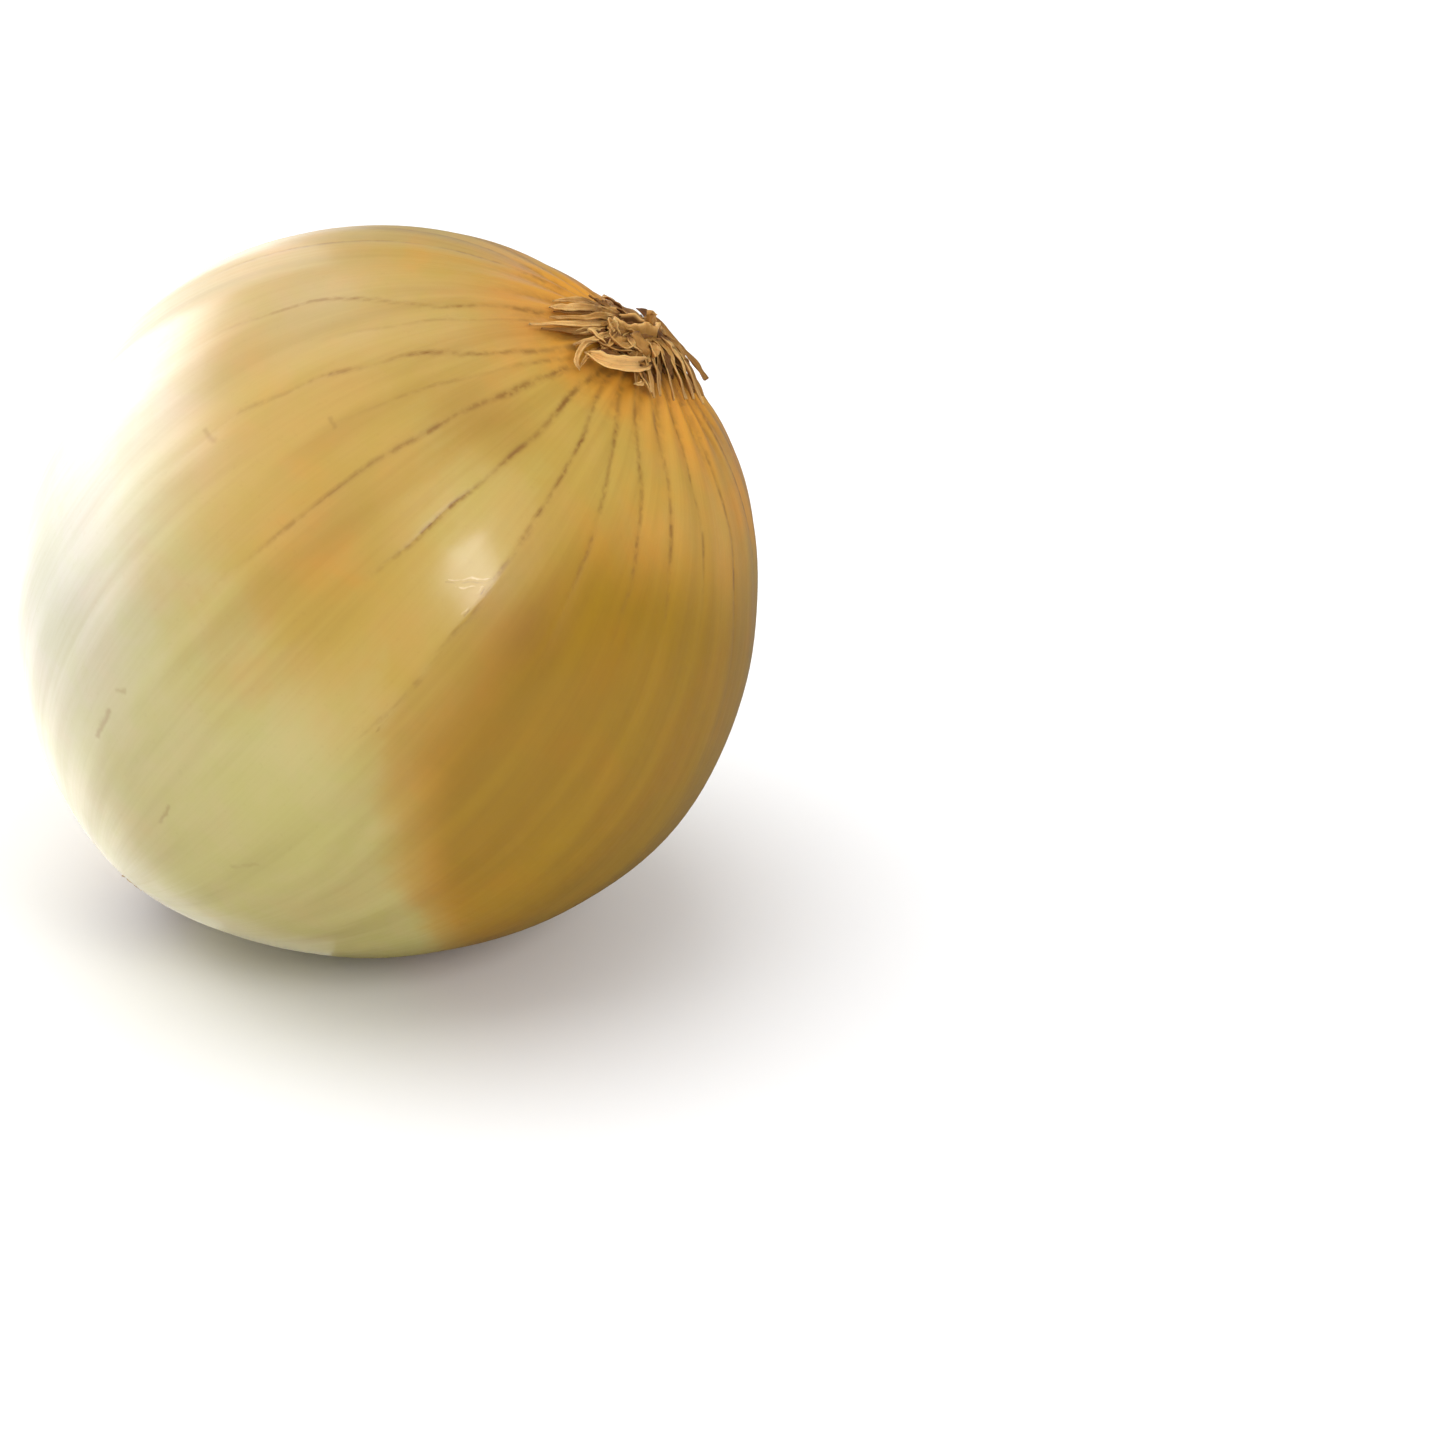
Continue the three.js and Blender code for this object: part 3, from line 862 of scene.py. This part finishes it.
def closer_at_the_ends(polar):
    """Evenly spaced rings drawn closer together at the neck and at the root."""
    share = polar / math.pi
    return math.pi * (share - END_CROWDING * np.sin(2 * math.pi * share))


def close_sheet():
    """Joins the seam and the poles of the active sheet and turns its faces outward."""
    bpy.ops.object.mode_set(mode="EDIT")
    bpy.ops.mesh.select_all(action="SELECT")
    bpy.ops.mesh.remove_doubles(threshold=1e-7)
    bpy.ops.mesh.normals_make_consistent(inside=False)
    bpy.ops.object.mode_set(mode="OBJECT")


# The colour steps at the fold by this share, over the stretch (polar angles) where the fold grows and fades
FOLD_STEP = 0.14
FOLD_STRETCH = np.radians([34, 46, 80, 98])
# Away from the fold the edge of the amber wavers by this much (mm)
AMBER_WAVER = 1.5
# The amber rises over this distance (mm) from its edge and ends at these angles round the bulb (radians)
AMBER_RISE = (0.2, 9.5)
AMBER_ENDS = (1.2, 2.6)
# The skin's ripeness at the neck, and how much of it is lost between two polar angles (radians)
NECK_RIPENESS = 0.95
RIPENESS_LOST = [(0.45, 0.15, 0.75), (0.55, 1.28, 1.9)]
AMBER_RIPENESS = 0.74


def past_the_fold(polar, azimuth):
    """0 on the fold's near side; on its far side a step at the fold itself and then a slow rise to 1."""
    aside, _ = vein_distance(polar, azimuth, AMBER_EDGE)
    turned = aside / np.maximum(EQUATOR_RADIUS * np.sin(polar), 1e-6)
    loose = 1 - window(polar, *FOLD_STRETCH)
    aside = aside + AMBER_WAVER * loose * ripples(direction(polar, azimuth), 9, 18)
    step = smooth(-0.5 - 3 * loose, 0.5 + 3 * loose, aside)
    rise = FOLD_STEP * step + (1 - FOLD_STEP) * smooth(*AMBER_RISE, aside)
    return rise * (1 - smooth(*AMBER_ENDS, turned))


def ripeness_of(polar, azimuth):
    """How amber the skin is, from 0, pale, to 1."""
    out = direction(polar, azimuth)
    shade = NECK_RIPENESS
    for lost, low, high in RIPENESS_LOST:
        shade = shade - lost * smooth(low, high, polar)
    shade += (AMBER_RIPENESS - shade) * np.sqrt(past_the_fold(polar, azimuth)) * smooth(0.2, 0.7, polar)
    return shade + patches_over(out, PATCHES) + 0.05 * ripples(out, 3.2, 9) + 0.07 * ripples(out, 8, 10)


class ONION_OT_bulb(bpy.types.Operator):
    """Add the bulb's skin"""

    bl_idname = "onion.bulb"
    bl_label = "Bulb skin"

    def execute(self, context):
        skin = sheet_of("bulb_skin", SKIN_SEGMENTS, SKIN_RINGS)
        even, azimuth = angles_of(skin)
        polar = closer_at_the_ends(even)
        out = direction(polar, azimuth)
        relief, dark = skin_relief(polar, azimuth)
        points = in_row_frame(out * (bulb_radius(polar, azimuth) + relief)[:, None])
        points[:, 2] = np.maximum(points[:, 2], 0)
        reshape(skin, points)
        mark(skin, "vein_and_rib_shade", dark)
        mark(skin, "ripeness", ripeness_of(polar, azimuth))
        past_edge = math.pi - polar - ROOT_SCORCH_EDGE - ROOT_SCORCH_WAVER * ripples(out, 22, 12)
        at_root = 0.75 * (1 - smooth(0, math.radians(4), past_edge))
        # Painted shade: the skin darkened under the shreds round the neck
        at_neck = 0.6 * (1 - smooth(*NECK_SHADE, polar))
        mark(skin, "scorch_and_neck_shade", np.maximum(at_root, at_neck))
        dull = patches_over(out, DULL_PATCHES) * (1 + 0.3 * ripples(out, 14, 17))
        mark(skin, "dull", np.clip(dull, 0, 1))
        # Pale dry patches, partly a painted sheen of the glare at the left
        mark(skin, "wan_and_sheen", np.clip(patches_over(out, WAN_AND_SHEEN_PATCHES), 0, 1))
        # Darkest amber past the fold, stronger lower down: partly the skin's own colour, partly painted shade
        deep_and_shade = past_the_fold(polar, azimuth) * smooth(0.5, 0.88, polar + 0.08 * ripples(out, 9, 19))
        mark(skin, "deep_and_shade", deep_and_shade * (1 - 0.3 * smooth(1.6, 2.3, polar)))
        close_sheet()
        finish_piece(skin, skin_material(), "bulb")
        return {"FINISHED"}


# ---- Neck ----
# The middle of the stub's rim in the row frame (mm from the bulb's centre)
RIM_AT = (26.2, -0.7, 34.6)
STUB_HEIGHT = 6.2
STUB_SIDES = 120
# How narrow the stub's upper end is from the front to the back, and its tilt from upright towards +X
STUB_SQUEEZE = 0.74
STUB_TILT = math.radians(8)
# Height over the stub's foot and radius (mm): outer wall, rim, hollow, the layers inside it and its middle
STUB_OUTLINE = [
    *((0.0, 4.8), (1.2, 4.2), (2.4, 3.55), (3.4, 3.15), (4.4, 2.95), (5.3, 2.95), (5.9, 3.02)),
    *((6.2, 2.95), (6.15, 2.72), (5.7, 2.55), (4.7, 2.4), (4.3, 2.15)),
    *((5.0, 2.0), (5.25, 1.85), (5.0, 1.65), (3.9, 1.4), (3.5, 0.95)),
    *((4.1, 0.75), (4.0, 0.55), (2.8, 0.3)),
]
# Where the dried layers spring from, as growth-frame X and Y (mm)
NECK_AT = (-1.6, -1.2)
# Papery strips: width (mm), cupping, roll at both ends (degrees), how bleached, then stops along the strip,
# each an azimuth (degrees), a distance from the growth axis along the skin and a lift over the skin (mm).
STRIPS = [
    (1.1, 0.3, 4, 10, 0.75, [(-165, 3.2, 0.6), (-144, 6.4, 1.3), (-141, 10, 1.05), (-143, 16.2, 0.6)]),
    (0.85, 0.4, -14, 6, 0.45, [(-168, 3.4, 0.9), (-148, 6.6, 1.7), (-145, 9.6, 1.3), (-147, 13.0, 0.65)]),
    (0.95, 0.3, -20, -5, 0.7, [(175, 3.5, 0.8), (-161, 7.0, 1.3), (-156, 10.2, 0.9), (-155, 12.2, 0.6)]),
    (0.75, 0.5, 8, -10, 0.5, [(168, 4.0, 0.7), (-172, 7.6, 1.0), (-162, 11.3, 0.55)]),
    (0.85, 0.5, 14, -6, 0.4, [(-150, 4.2, 1.0), (-137, 7.6, 1.2), (-136, 11.4, 0.6)]),
    (0.8, 0.4, 0, 10, 0.7, [(-135, 4.6, 1.4), (-127, 8.6, 1.5), (-129, 12.6, 0.75)]),
    (0.5, 0.5, 20, 30, 0.6, [(-126, 9.6, 1.2), (-125, 12.4, 1.7), (-121, 14.3, 1.2), (-117, 14.3, 0.5)]),
    (0.4, 0.4, 0, -30, 0.65, [(-128, 8.6, 1.2), (-125, 12.0, 1.2), (-121, 13.9, 0.6)]),
    (0.45, 0.4, -20, 10, 0.5, [(-122, 9.6, 0.9), (-120, 12.6, 1.3), (-118, 14.0, 0.6)]),
    (
        *(1.45, 1.7, -30, -20, 1.0),
        [(-86, 5.8, 1.5), (-97, 8.4, 1.9), (-107, 11.1, 2.0), (-115, 12.2, 1.6), (-123, 12.2, 0.9)],
    ),
    # Two dark strips laid as painted shadow under the strips above them
    (0.85, 0.3, 6, 4, -0.35, [(-132, 7.5, 1.5), (-134, 9.0, 1.0), (-138, 12.1, 0.65), (-141, 14.8, 0.45)]),
    (0.55, 0.3, 0, 0, -0.3, [(-146, 6.6, 1.6), (-156, 7.5, 0.95), (-154, 9.8, 0.65), (-153, 11.8, 0.45)]),
    (1.0, 0.5, 20, 0, 0.5, [(-108, 5.6, 2.4), (-104, 8.0, 2.1), (-92, 8.5, 1.5), (-78, 9.2, 0.7)]),
    (0.75, 0.5, -20, 10, 0.6, [(-100, 4.6, 2.4), (-96, 6.5, 2.2), (-85, 7.5, 1.5), (-75, 9.6, 0.6)]),
    (0.85, 0.5, 10, -10, 0.45, [(-98, 3.9, 2.3), (-88, 5.5, 2.2), (-75, 6.6, 1.4), (-69, 8.8, 0.6)]),
    (0.8, 0.6, -30, 0, 0.6, [(-92, 3.0, 2.4), (-74, 3.9, 2.4), (-61, 5.9, 1.6), (-55, 8.6, 0.7)]),
    (1.0, 0.5, 16, -12, 0.55, [(-80, 2.4, 2.4), (-53, 3.0, 2.4), (-45, 5.6, 1.7), (-39, 8.2, 0.8)]),
    (0.5, 0.4, 0, 20, 0.5, [(-104, 5.2, 2.2), (-100, 6.2, 2.0), (-96, 7.8, 1.3), (-89, 9.2, 0.5)]),
    (
        *(3.4, -0.2, -4, -10, 0.05),
        [(-70, 1.2, 2.6), (-10, 2.4, 2.4), (16, 4.6, 1.8), (10, 7.0, 1.2), (0, 9.2, 0.6)],
    ),
    (
        *(2.6, -0.2, 0, 10, -0.1),
        [(92, 5.2, 1.7), (76, 7.2, 1.9), (56, 7.2, 1.8), (40, 7.9, 1.8), (31, 9.8, 1.6), (29, 11.6, 1.4)],
    ),
    (1.2, 0.5, -20, 16, 0.6, [(-66, 2.2, 2.8), (-40, 3.0, 2.6), (-23, 4.9, 1.9), (-27, 8.3, 0.8)]),
    (1.2, 1.2, 60, 76, 0.3, [(-100, 1.4, 2.4), (-118, 2.0, 3.4), (-124, 2.5, 4.2), (-126, 2.6, 4.7)]),
    (1.3, 0.8, 18, -24, 0.3, [(-124, 6.8, 1.8), (-121, 9.0, 2.6), (-113, 9.2, 2.8), (-108, 6.8, 2.6)]),
    (1.6, -1.0, 0, 30, 0.1, [(-114, 4.8, 2.9), (-109, 5.7, 3.1), (-99, 6.4, 3.1), (-86, 5.8, 2.1)]),
    (0.9, 0.8, -40, 0, 0.35, [(-124, 10.3, 1.6), (-115, 10.0, 2.2), (-108, 8.1, 2.3), (-102, 6.0, 2.0)]),
    (0.7, 0.7, 30, -30, 0.5, [(-115, 7.0, 2.7), (-107, 7.8, 2.9), (-97, 6.4, 2.1)]),
    (0.6, 0.7, -10, 40, 0.3, [(-122, 8.0, 2.7), (-118, 9.7, 2.5), (-119, 10.6, 1.5)]),
    # Dark strips laid as painted shade: the pits between the shreds and the shadow line over the curled flap
    (1.3, 0.1, 0, 0, -0.6, [(-60, 3.0, 2.2), (-62, 4.9, 2.15), (-59, 6.2, 1.6)]),
    (0.6, 0.1, 0, 0, -0.5, [(-95, 8.0, 1.9), (-88, 8.7, 1.5), (-81, 9.0, 0.9)]),
    (0.8, 0.1, 0, 0, -0.5, [(-122, 9.4, 1.9), (-119, 8.6, 2.0), (-116, 7.9, 2.05)]),
    (0.55, 0.1, 0, 0, -0.5, [(-117, 6.8, 2.5), (-111, 5.5, 2.7), (-105, 4.3, 2.85), (-95, 3.2, 2.85)]),
    (0.5, 0.1, 0, 0, -0.5, [(-119, 11.4, 1.9), (-111, 10.0, 2.2), (-97, 7.8, 2.1)]),
    (1.3, 1.4, 0, 20, 0.3, [(-98, 4.6, 2.4), (-92, 5.9, 2.95), (-87, 6.2, 2.4)]),
    (1.2, 0.6, 20, 10, 0.2, [(-128, 8.6, 1.2), (-118, 8.4, 1.9), (-104, 5.4, 2.3), (-60, 2.0, 2.3)]),
    (2.6, 0.3, 4, -8, 0.1, [(-50, 1.2, 2.0), (0, 2.6, 1.7), (12, 5.2, 1.2), (10, 8.2, 0.6)]),
    (2.4, 0.3, -6, 6, 0.15, [(20, 1.0, 2.2), (30, 3.0, 1.9), (32, 5.8, 1.3), (26, 8.8, 0.6)]),
    (2.0, 0.4, 8, -4, 0.2, [(-50, 2.0, 2.0), (-20, 3.2, 1.6), (-8, 5.4, 1.1), (-10, 8.0, 0.5)]),
    (2.2, 0.6, -12, 8, 0.45, [(30, 2.0, 2.2), (42, 4.6, 1.6), (48, 8.0, 0.8)]),
    (1.6, 0.5, 10, -10, 0.5, [(66, 1.8, 2.0), (78, 4.4, 1.4), (84, 6.9, 0.9)]),
    (2.1, 0.4, -8, 6, 0.45, [(96, 2.0, 1.4), (108, 5.2, 0.9), (116, 8.4, 0.4)]),
    (1.4, 0.4, 10, -8, 0.55, [(126, 2.4, 1.2), (128, 4.8, 0.7), (124, 7.2, 0.3)]),
    (1.2, 0.6, 0, 20, 0.35, [(10, 2.2, 2.4), (22, 5.2, 1.8), (34, 9.6, 0.7)]),
    (0.9, 0.6, -20, 0, 0.6, [(-20, 2.4, 2.6), (-8, 5.0, 1.8), (-14, 9.4, 0.7)]),
]


# How finely a strip is divided across and along
STRIP_COLUMNS = 8
STRIP_ROWS = 28
# The slivers and scraps count on from here, so that each one draws its own numbers
FIRST_SLIVER = 100
FIRST_CRUMB = 400
CRUMBS = 22
MOST_CRUMPLED_WIDTH = 1.6


def curve(stops, share):
    """A smooth line through the stops, at each share along it."""
    stops = np.asarray(stops, float)
    stops = np.vstack([2 * stops[0] - stops[1], stops, 2 * stops[-1] - stops[-2]])
    spot = np.clip(share, 0, 1) * (len(stops) - 3)
    first = np.minimum(spot.astype(int), len(stops) - 4)
    t = (spot - first)[:, None]
    a, b, c, d = (stops[first + k] for k in range(4))
    return 0.5 * (2 * b + (c - a) * t + (2 * a - 5 * b + 4 * c - d) * t**2 + (3 * b - a - 3 * c + d) * t**3)


def over_skin(azimuth, away, lift, at_root=False):
    """Growth-frame point at a distance from the growth axis along the skin (mm) and a lift over it (mm)."""
    polar = away / EQUATOR_RADIUS
    if at_root:
        polar = math.pi - polar
    return direction(polar, azimuth) * np.expand_dims(bulb_radius(polar, azimuth) + lift, -1)


def frame_along(line, along, step=0.01):
    """Place, direction across and direction out of a line over the skin, at each share along it."""
    here = line(along)
    ahead = line(along + step) - line(along - step)
    ahead /= np.linalg.norm(ahead, axis=-1, keepdims=True)
    across = np.cross(here, ahead)
    across /= np.linalg.norm(across, axis=-1, keepdims=True)
    return here, across, np.cross(ahead, across)


def shape_strip(strip, item, width, cup, roll, end_roll, bleach, stops):
    """Bends a flat sheet into one curled, ragged, papery strip."""
    flat = points_of(strip)
    side, along = 2 * flat[:, 0], flat[:, 1] + 0.5
    places = [over_skin(math.radians(azimuth), away, lift) for azimuth, away, lift in stops]
    here, across, out = frame_along(lambda share: curve(places, share), along)
    turn = np.radians(roll + (end_roll - roll) * along)[:, None]
    across, out = across * np.cos(turn) + out * np.sin(turn), out * np.cos(turn) - across * np.sin(turn)
    full = (0.5 + 0.5 * smooth(0, 0.3, along)) * (1 - along ** spread_of(item, 32, 2.4, 5)) ** 0.7
    phase = 6.3 * draw(item, 33) + np.where(side > 0, 2.1, 0)
    ragged = 0.12 * np.sin(9 * along + phase) + 0.09 * np.sin(21 * along - 2 * phase)
    ragged += 0.06 * np.sin(43 * along + 3 * phase)
    half = 0.5 * width * (0.05 + full) * (1 + ragged * min(1, 1.2 / width) ** 1.5)
    crumple = 0.08 * np.sin(8 * along + 2.2 * side + 6 * draw(item, 35))
    crumple += 0.05 * np.sin(19 * along - 3.7 * side + 6 * draw(item, 36))
    crumple += 0.035 * np.cos(8.5 * side + 2 * along)
    crumple *= min(width, MOST_CRUMPLED_WIDTH) * smooth(0.0, 0.2, along)
    rise = 0.6 * cup * half * side**2 + crumple
    reshape(strip, in_row_frame(here + across * (side * half)[:, None] + out * rise[:, None]))
    edge = np.abs(side) ** 3
    lightened = bleach - 0.3 + 0.35 * along + 0.3 * edge
    mark(strip, "bleach", lightened + spread_of(item, 37, -0.12, 0.12))
    spots = (points_of(strip) / MM - np.array([0, 0, CENTRE_HEIGHT])) @ TO_ROW
    x, y, z = spots.T
    polar = np.arctan2(np.hypot(x, y), z)
    lift = np.linalg.norm(spots, axis=1) - bulb_radius(polar, np.arctan2(y, x))
    # Painted shade: darker where the strip springs from the neck and where it lies low near the neck under
    # the others; strips of low bleach are darker still
    painted_shade_and_brown = np.clip(0.9 - 2.6 * along, 0, 1) * (1 - 0.5 * edge) + 0.35 * (1 - bleach) ** 2
    low_painted_shade = (1 - smooth(5.5, 9.5, polar * EQUATOR_RADIUS)) * (1 - smooth(0.9, 2.3, lift))
    mark(strip, "painted_shade_and_brown", np.clip(np.maximum(painted_shade_and_brown, 0.85 * low_painted_shade), 0, 1))


def sliver(item, count):
    """Width, cupping, rolls, bleach and stops of one of the fine strips round the neck."""
    turn = math.radians(360 * (item + 0.9 * draw(item, 1)) / count)
    aside = math.radians(spread_of(item, 2, -22, 22))
    far = max(0.0, math.sin(turn))
    start, length = spread_of(item, 3, 2.0, 3.6), spread_of(item, 4, 1.6, 4.2) * (1 - 0.5 * far)
    lift = spread_of(item, 5, 0.9, 2.0) * (1 - 0.55 * far)
    stops = []
    for share, rise in ((0, lift), (0.5, 0.8 * lift), (1, spread_of(item, 6, 0.35, 0.9))):
        x = NECK_AT[0] + (start + share * length) * math.cos(turn + share * aside)
        y = NECK_AT[1] + (start + share * length) * math.sin(turn + share * aside)
        stops.append((math.degrees(math.atan2(y, x)), math.hypot(x, y), rise))
    width, cup = spread_of(item, 7, 0.25, 0.9), spread_of(item, 8, 0.2, 0.9)
    rolls = spread_of(item, 9, -35, 35), spread_of(item, 10, -35, 35)
    return width, cup, *rolls, draw(item, 11), stops


def crumb(item):
    """The same for one of the short curled scraps between the stub and the strips."""
    azimuth, away = spread_of(item, 1, -134, -88), spread_of(item, 2, 4.6, 8.8)
    lift = spread_of(item, 3, 0.9, 2.0)
    stops = [(azimuth, away, lift)]
    for step in (4, 7):
        azimuth += spread_of(item, step, -13, 13)
        away = max(4.0, away + spread_of(item, step + 1, -1.0, 1.2))
        lift += spread_of(item, step + 2, -0.7, 0.4)
        stops.append((azimuth, away, max(0.6, lift)))
    rolls = spread_of(item, 12, -50, 50), spread_of(item, 13, -50, 50)
    return spread_of(item, 11, 0.5, 1.3), 0.9, *rolls, draw(item, 14), stops


def make_strips(sizes):
    rows = [(k, *row) for k, row in enumerate(STRIPS)]
    rows += [(k, *sliver(k, sizes.slivers)) for k in range(FIRST_SLIVER, FIRST_SLIVER + sizes.slivers)]
    rows += [(k, *crumb(k)) for k in range(FIRST_CRUMB, FIRST_CRUMB + CRUMBS)]
    strips = repeated(sheet_of("strip", STRIP_COLUMNS, STRIP_ROWS), "neck_shreds", shape_strip, rows)
    wall = strips.modifiers.new("paper", "SOLIDIFY")
    wall.thickness, wall.offset = sizes.shred_thickness, 0
    return strips


def make_stub():
    """The cut stub: dried layers round a hollow darkened with painted shade, raised ring by ring from a
    circle.
    """
    low, wide = STUB_OUTLINE[0]
    stub = fresh(
        bpy.ops.mesh.primitive_circle_add, "neck_stub", vertices=STUB_SIDES, radius=wide, fill_type="NOTHING"
    )
    bpy.ops.object.mode_set(mode="EDIT")
    bpy.ops.mesh.select_all(action="SELECT")
    for height, radius in STUB_OUTLINE[1:]:
        bpy.ops.mesh.extrude_region_move(TRANSFORM_OT_translate={"value": (0, 0, height - low)})
        bpy.ops.transform.resize(value=(radius / wide, radius / wide, 1), center_override=(0, 0, 0))
        low, wide = height, radius
    bpy.ops.mesh.edge_face_add()
    bpy.ops.mesh.select_all(action="SELECT")
    bpy.ops.mesh.normals_make_consistent(inside=False)
    bpy.ops.object.mode_set(mode="OBJECT")
    x, y, height = points_of(stub).T
    ring, turn = np.hypot(x, y), np.arctan2(y, x)
    climb = np.clip(height / STUB_HEIGHT, 0, 1)
    twisted = turn + 0.6 * climb
    wavy = 0.1 * np.cos(9 * twisted) + 0.07 * np.sin(17 * twisted + 1.3) + 0.05 * np.sin(29 * twisted)
    ring = ring * (1 + 0.38 * wavy * smooth(0.1, 0.5, climb) * np.clip(ring / 3, 0.3, 1))
    torn = 0.2 * np.sin(5 * turn + 0.6) + 0.07 * np.sin(13 * turn + 2)
    torn -= 0.5 * np.clip(np.cos(turn - 0.25), 0, 1) ** 2
    torn += 0.15 * np.clip(-np.sin(turn), 0, 1) - 0.75 * np.clip(np.sin(turn), 0, 1)
    height = height + torn * smooth(0.5, 1.0, climb) * np.clip(ring / 2.6, 0.3, 1)
    squeeze = 1 - (1 - STUB_SQUEEZE) * smooth(0.3, 1.0, climb)
    points = np.stack([ring * np.cos(turn), ring * np.sin(turn) * squeeze, height - STUB_HEIGHT], axis=1)
    tilt = np.array(Matrix.Rotation(STUB_TILT, 3, "Y"))
    middle = np.array([*RIM_AT[:2], RIM_AT[2] + CENTRE_HEIGHT])
    reshape(stub, (points @ tilt.T + middle) * MM)
    mark(stub, "bleach", 0.2 + 0.4 * smooth(0.85, 1.0, climb))
    inside = np.repeat(np.arange(len(STUB_OUTLINE)) > 8, STUB_SIDES)
    # Painted shade: dark inside the hollow, faint on the outer wall, none at the top of its rim
    mark(stub, "painted_shade_and_brown", np.clip(0.15 + 0.8 * inside - 0.5 * smooth(0.9, 1.0, climb) * ~inside, 0, 1))
    return stub


class ONION_OT_neck(bpy.types.Operator):
    """Add the cut stub of the neck and the papery shreds that fold out of it"""

    bl_idname = "onion.neck"
    bl_label = "Neck"

    def execute(self, context):
        paper = paper_material()
        finish_piece(make_stub(), paper, "dried_neck")
        finish_piece(make_strips(context.scene.onion_sizes), paper, "dried_neck")
        return {"FINISHED"}


# ---- Roots ----
PLATE_RADIUS = 6.2
PLATE_SEGMENTS = 96
PLATE_RINGS = 48
# The roots grow within this radius, each turned by the golden angle from the last
ROOTED_RADIUS = 5.1
GOLDEN_ANGLE = 2.39996
ROOT_SIDES = 6
# Where a root is divided along its length
ROOT_CUTS = (0.12, 0.24, 0.36, 0.48, 0.6, 0.72, 0.84, 0.93)


def shape_root(tube, item, count, thickness):
    """Bends a straight tube into one dried, curly root."""
    flat = points_of(tube)
    along = flat[:, 2] + 0.5
    start = ROOTED_RADIUS * math.sqrt((item + 0.5) / count)
    azimuth = item * GOLDEN_ANGLE + 0.3 * draw(item, 1)
    outer = start / PLATE_RADIUS
    length = (1.4 + 0.8 * outer**2) * spread_of(item, 2, 0.6, 1.15)
    arch = spread_of(item, 3, 0.9, 1.8) * (1.3 - 0.95 * outer)
    tip = spread_of(item, 4, 0.35, 1.5) * (1.35 - 1.2 * outer)
    sweep = math.radians(spread_of(item, 5, -42, 42)) * min(1.0, 1.6 / max(start, 0.8))
    curl, phase = spread_of(item, 6, 0.1, 0.34), 6 * draw(item, 7)

    def line(share):
        wave = curl / max(start, 1) * np.sin(7 * share + phase)
        turn = azimuth + sweep * np.clip(share, 0, 1) ** 1.5 + wave
        lift = 0.1 * (1 - share) ** 2 + (arch + 0.5) * 2 * share * (1 - share) + tip * share**2
        return over_skin(turn, start - 0.3 + length * share, lift, at_root=True)

    here, across, out = frame_along(line, along)
    radius = 0.5 * thickness / MM * spread_of(item, 8, 0.6, 1.25) * (1 - 0.6 * along)
    radius *= 1 + 0.18 * np.sin(19 * along + item)
    points = here + (across * (2 * flat[:, :1]) + out * (2 * flat[:, 1:2])) * radius[:, None]
    reshape(tube, in_row_frame(points))
    mark(tube, "painted_shade_and_brown", np.clip(0.85 - 2.2 * along + spread_of(item, 9, -0.2, 0.35), 0, 1))


class ONION_OT_roots(bpy.types.Operator):
    """Add the corky root plate and its dried roots"""

    bl_idname = "onion.roots"
    bl_label = "Root tuft"

    def execute(self, context):
        sizes = context.scene.onion_sizes
        plate = sheet_of("root_plate", PLATE_SEGMENTS, PLATE_RINGS)
        polar, azimuth = angles_of(plate)
        out = direction(polar, azimuth)
        bumpy = 0.8 + 0.2 * ripples(out, 16, 14) + 0.16 * ripples(out, 34, 15)
        lift = np.where(np.cos(polar) > 0, bumpy, -1.2) * np.abs(np.cos(polar)) ** 0.6
        reshape(plate, in_row_frame(over_skin(azimuth, PLATE_RADIUS * np.sin(polar), lift, at_root=True)))
        mark(plate, "painted_shade_and_brown", 0.75 + 0.25 * ripples(out, 20, 16))
        close_sheet()
        add = bpy.ops.mesh.primitive_cylinder_add
        tube = fresh(add, "root", vertices=ROOT_SIDES, radius=0.5, depth=1, end_fill_type="TRIFAN")
        bpy.ops.object.mode_set(mode="EDIT")
        bpy.ops.mesh.select_all(action="SELECT")
        for share in ROOT_CUTS:
            bpy.ops.mesh.bisect(plane_co=(0, 0, share - 0.5), plane_no=(0, 0, 1))
            bpy.ops.mesh.select_all(action="SELECT")
        bpy.ops.object.mode_set(mode="OBJECT")
        rows = [(item, sizes.roots, sizes.root_thickness) for item in range(sizes.roots)]
        strands = repeated(tube, "root_strands", shape_root, rows)
        material = root_material()
        finish_piece(plate, material, "root_tuft")
        finish_piece(strands, material, "root_tuft")
        return {"FINISHED"}


# ---- Panel and registration ----
class ONION_PT_panel(bpy.types.Panel):
    """Sizes, colours and pieces of the onion"""

    bl_idname = "ONION_PT_panel"
    bl_label = "Onion"
    bl_space_type = "VIEW_3D"
    bl_region_type = "UI"
    bl_category = "Onion"

    def draw(self, context):
        for group in (context.scene.onion_sizes, context.scene.onion_colours):
            box = self.layout.box()
            for name in group.__annotations__:
                box.prop(group, name)
        for operator in PIECES:
            self.layout.operator(operator.bl_idname)


PIECES = [ONION_OT_stage, ONION_OT_bulb, ONION_OT_neck, ONION_OT_roots]
CLASSES = [OnionSizes, OnionColours, *PIECES, ONION_PT_panel]


def register():
    for cls in CLASSES:
        bpy.utils.register_class(cls)
    bpy.types.Scene.onion_sizes = PointerProperty(type=OnionSizes)
    bpy.types.Scene.onion_colours = PointerProperty(type=OnionColours)


def unregister():
    del bpy.types.Scene.onion_colours
    del bpy.types.Scene.onion_sizes
    for cls in reversed(CLASSES):
        bpy.utils.unregister_class(cls)


def main():
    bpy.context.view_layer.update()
    register()
    bpy.ops.onion.stage()
    bpy.ops.onion.bulb()
    bpy.ops.onion.neck()
    bpy.ops.onion.roots()


if __name__ == "__main__":
    main()
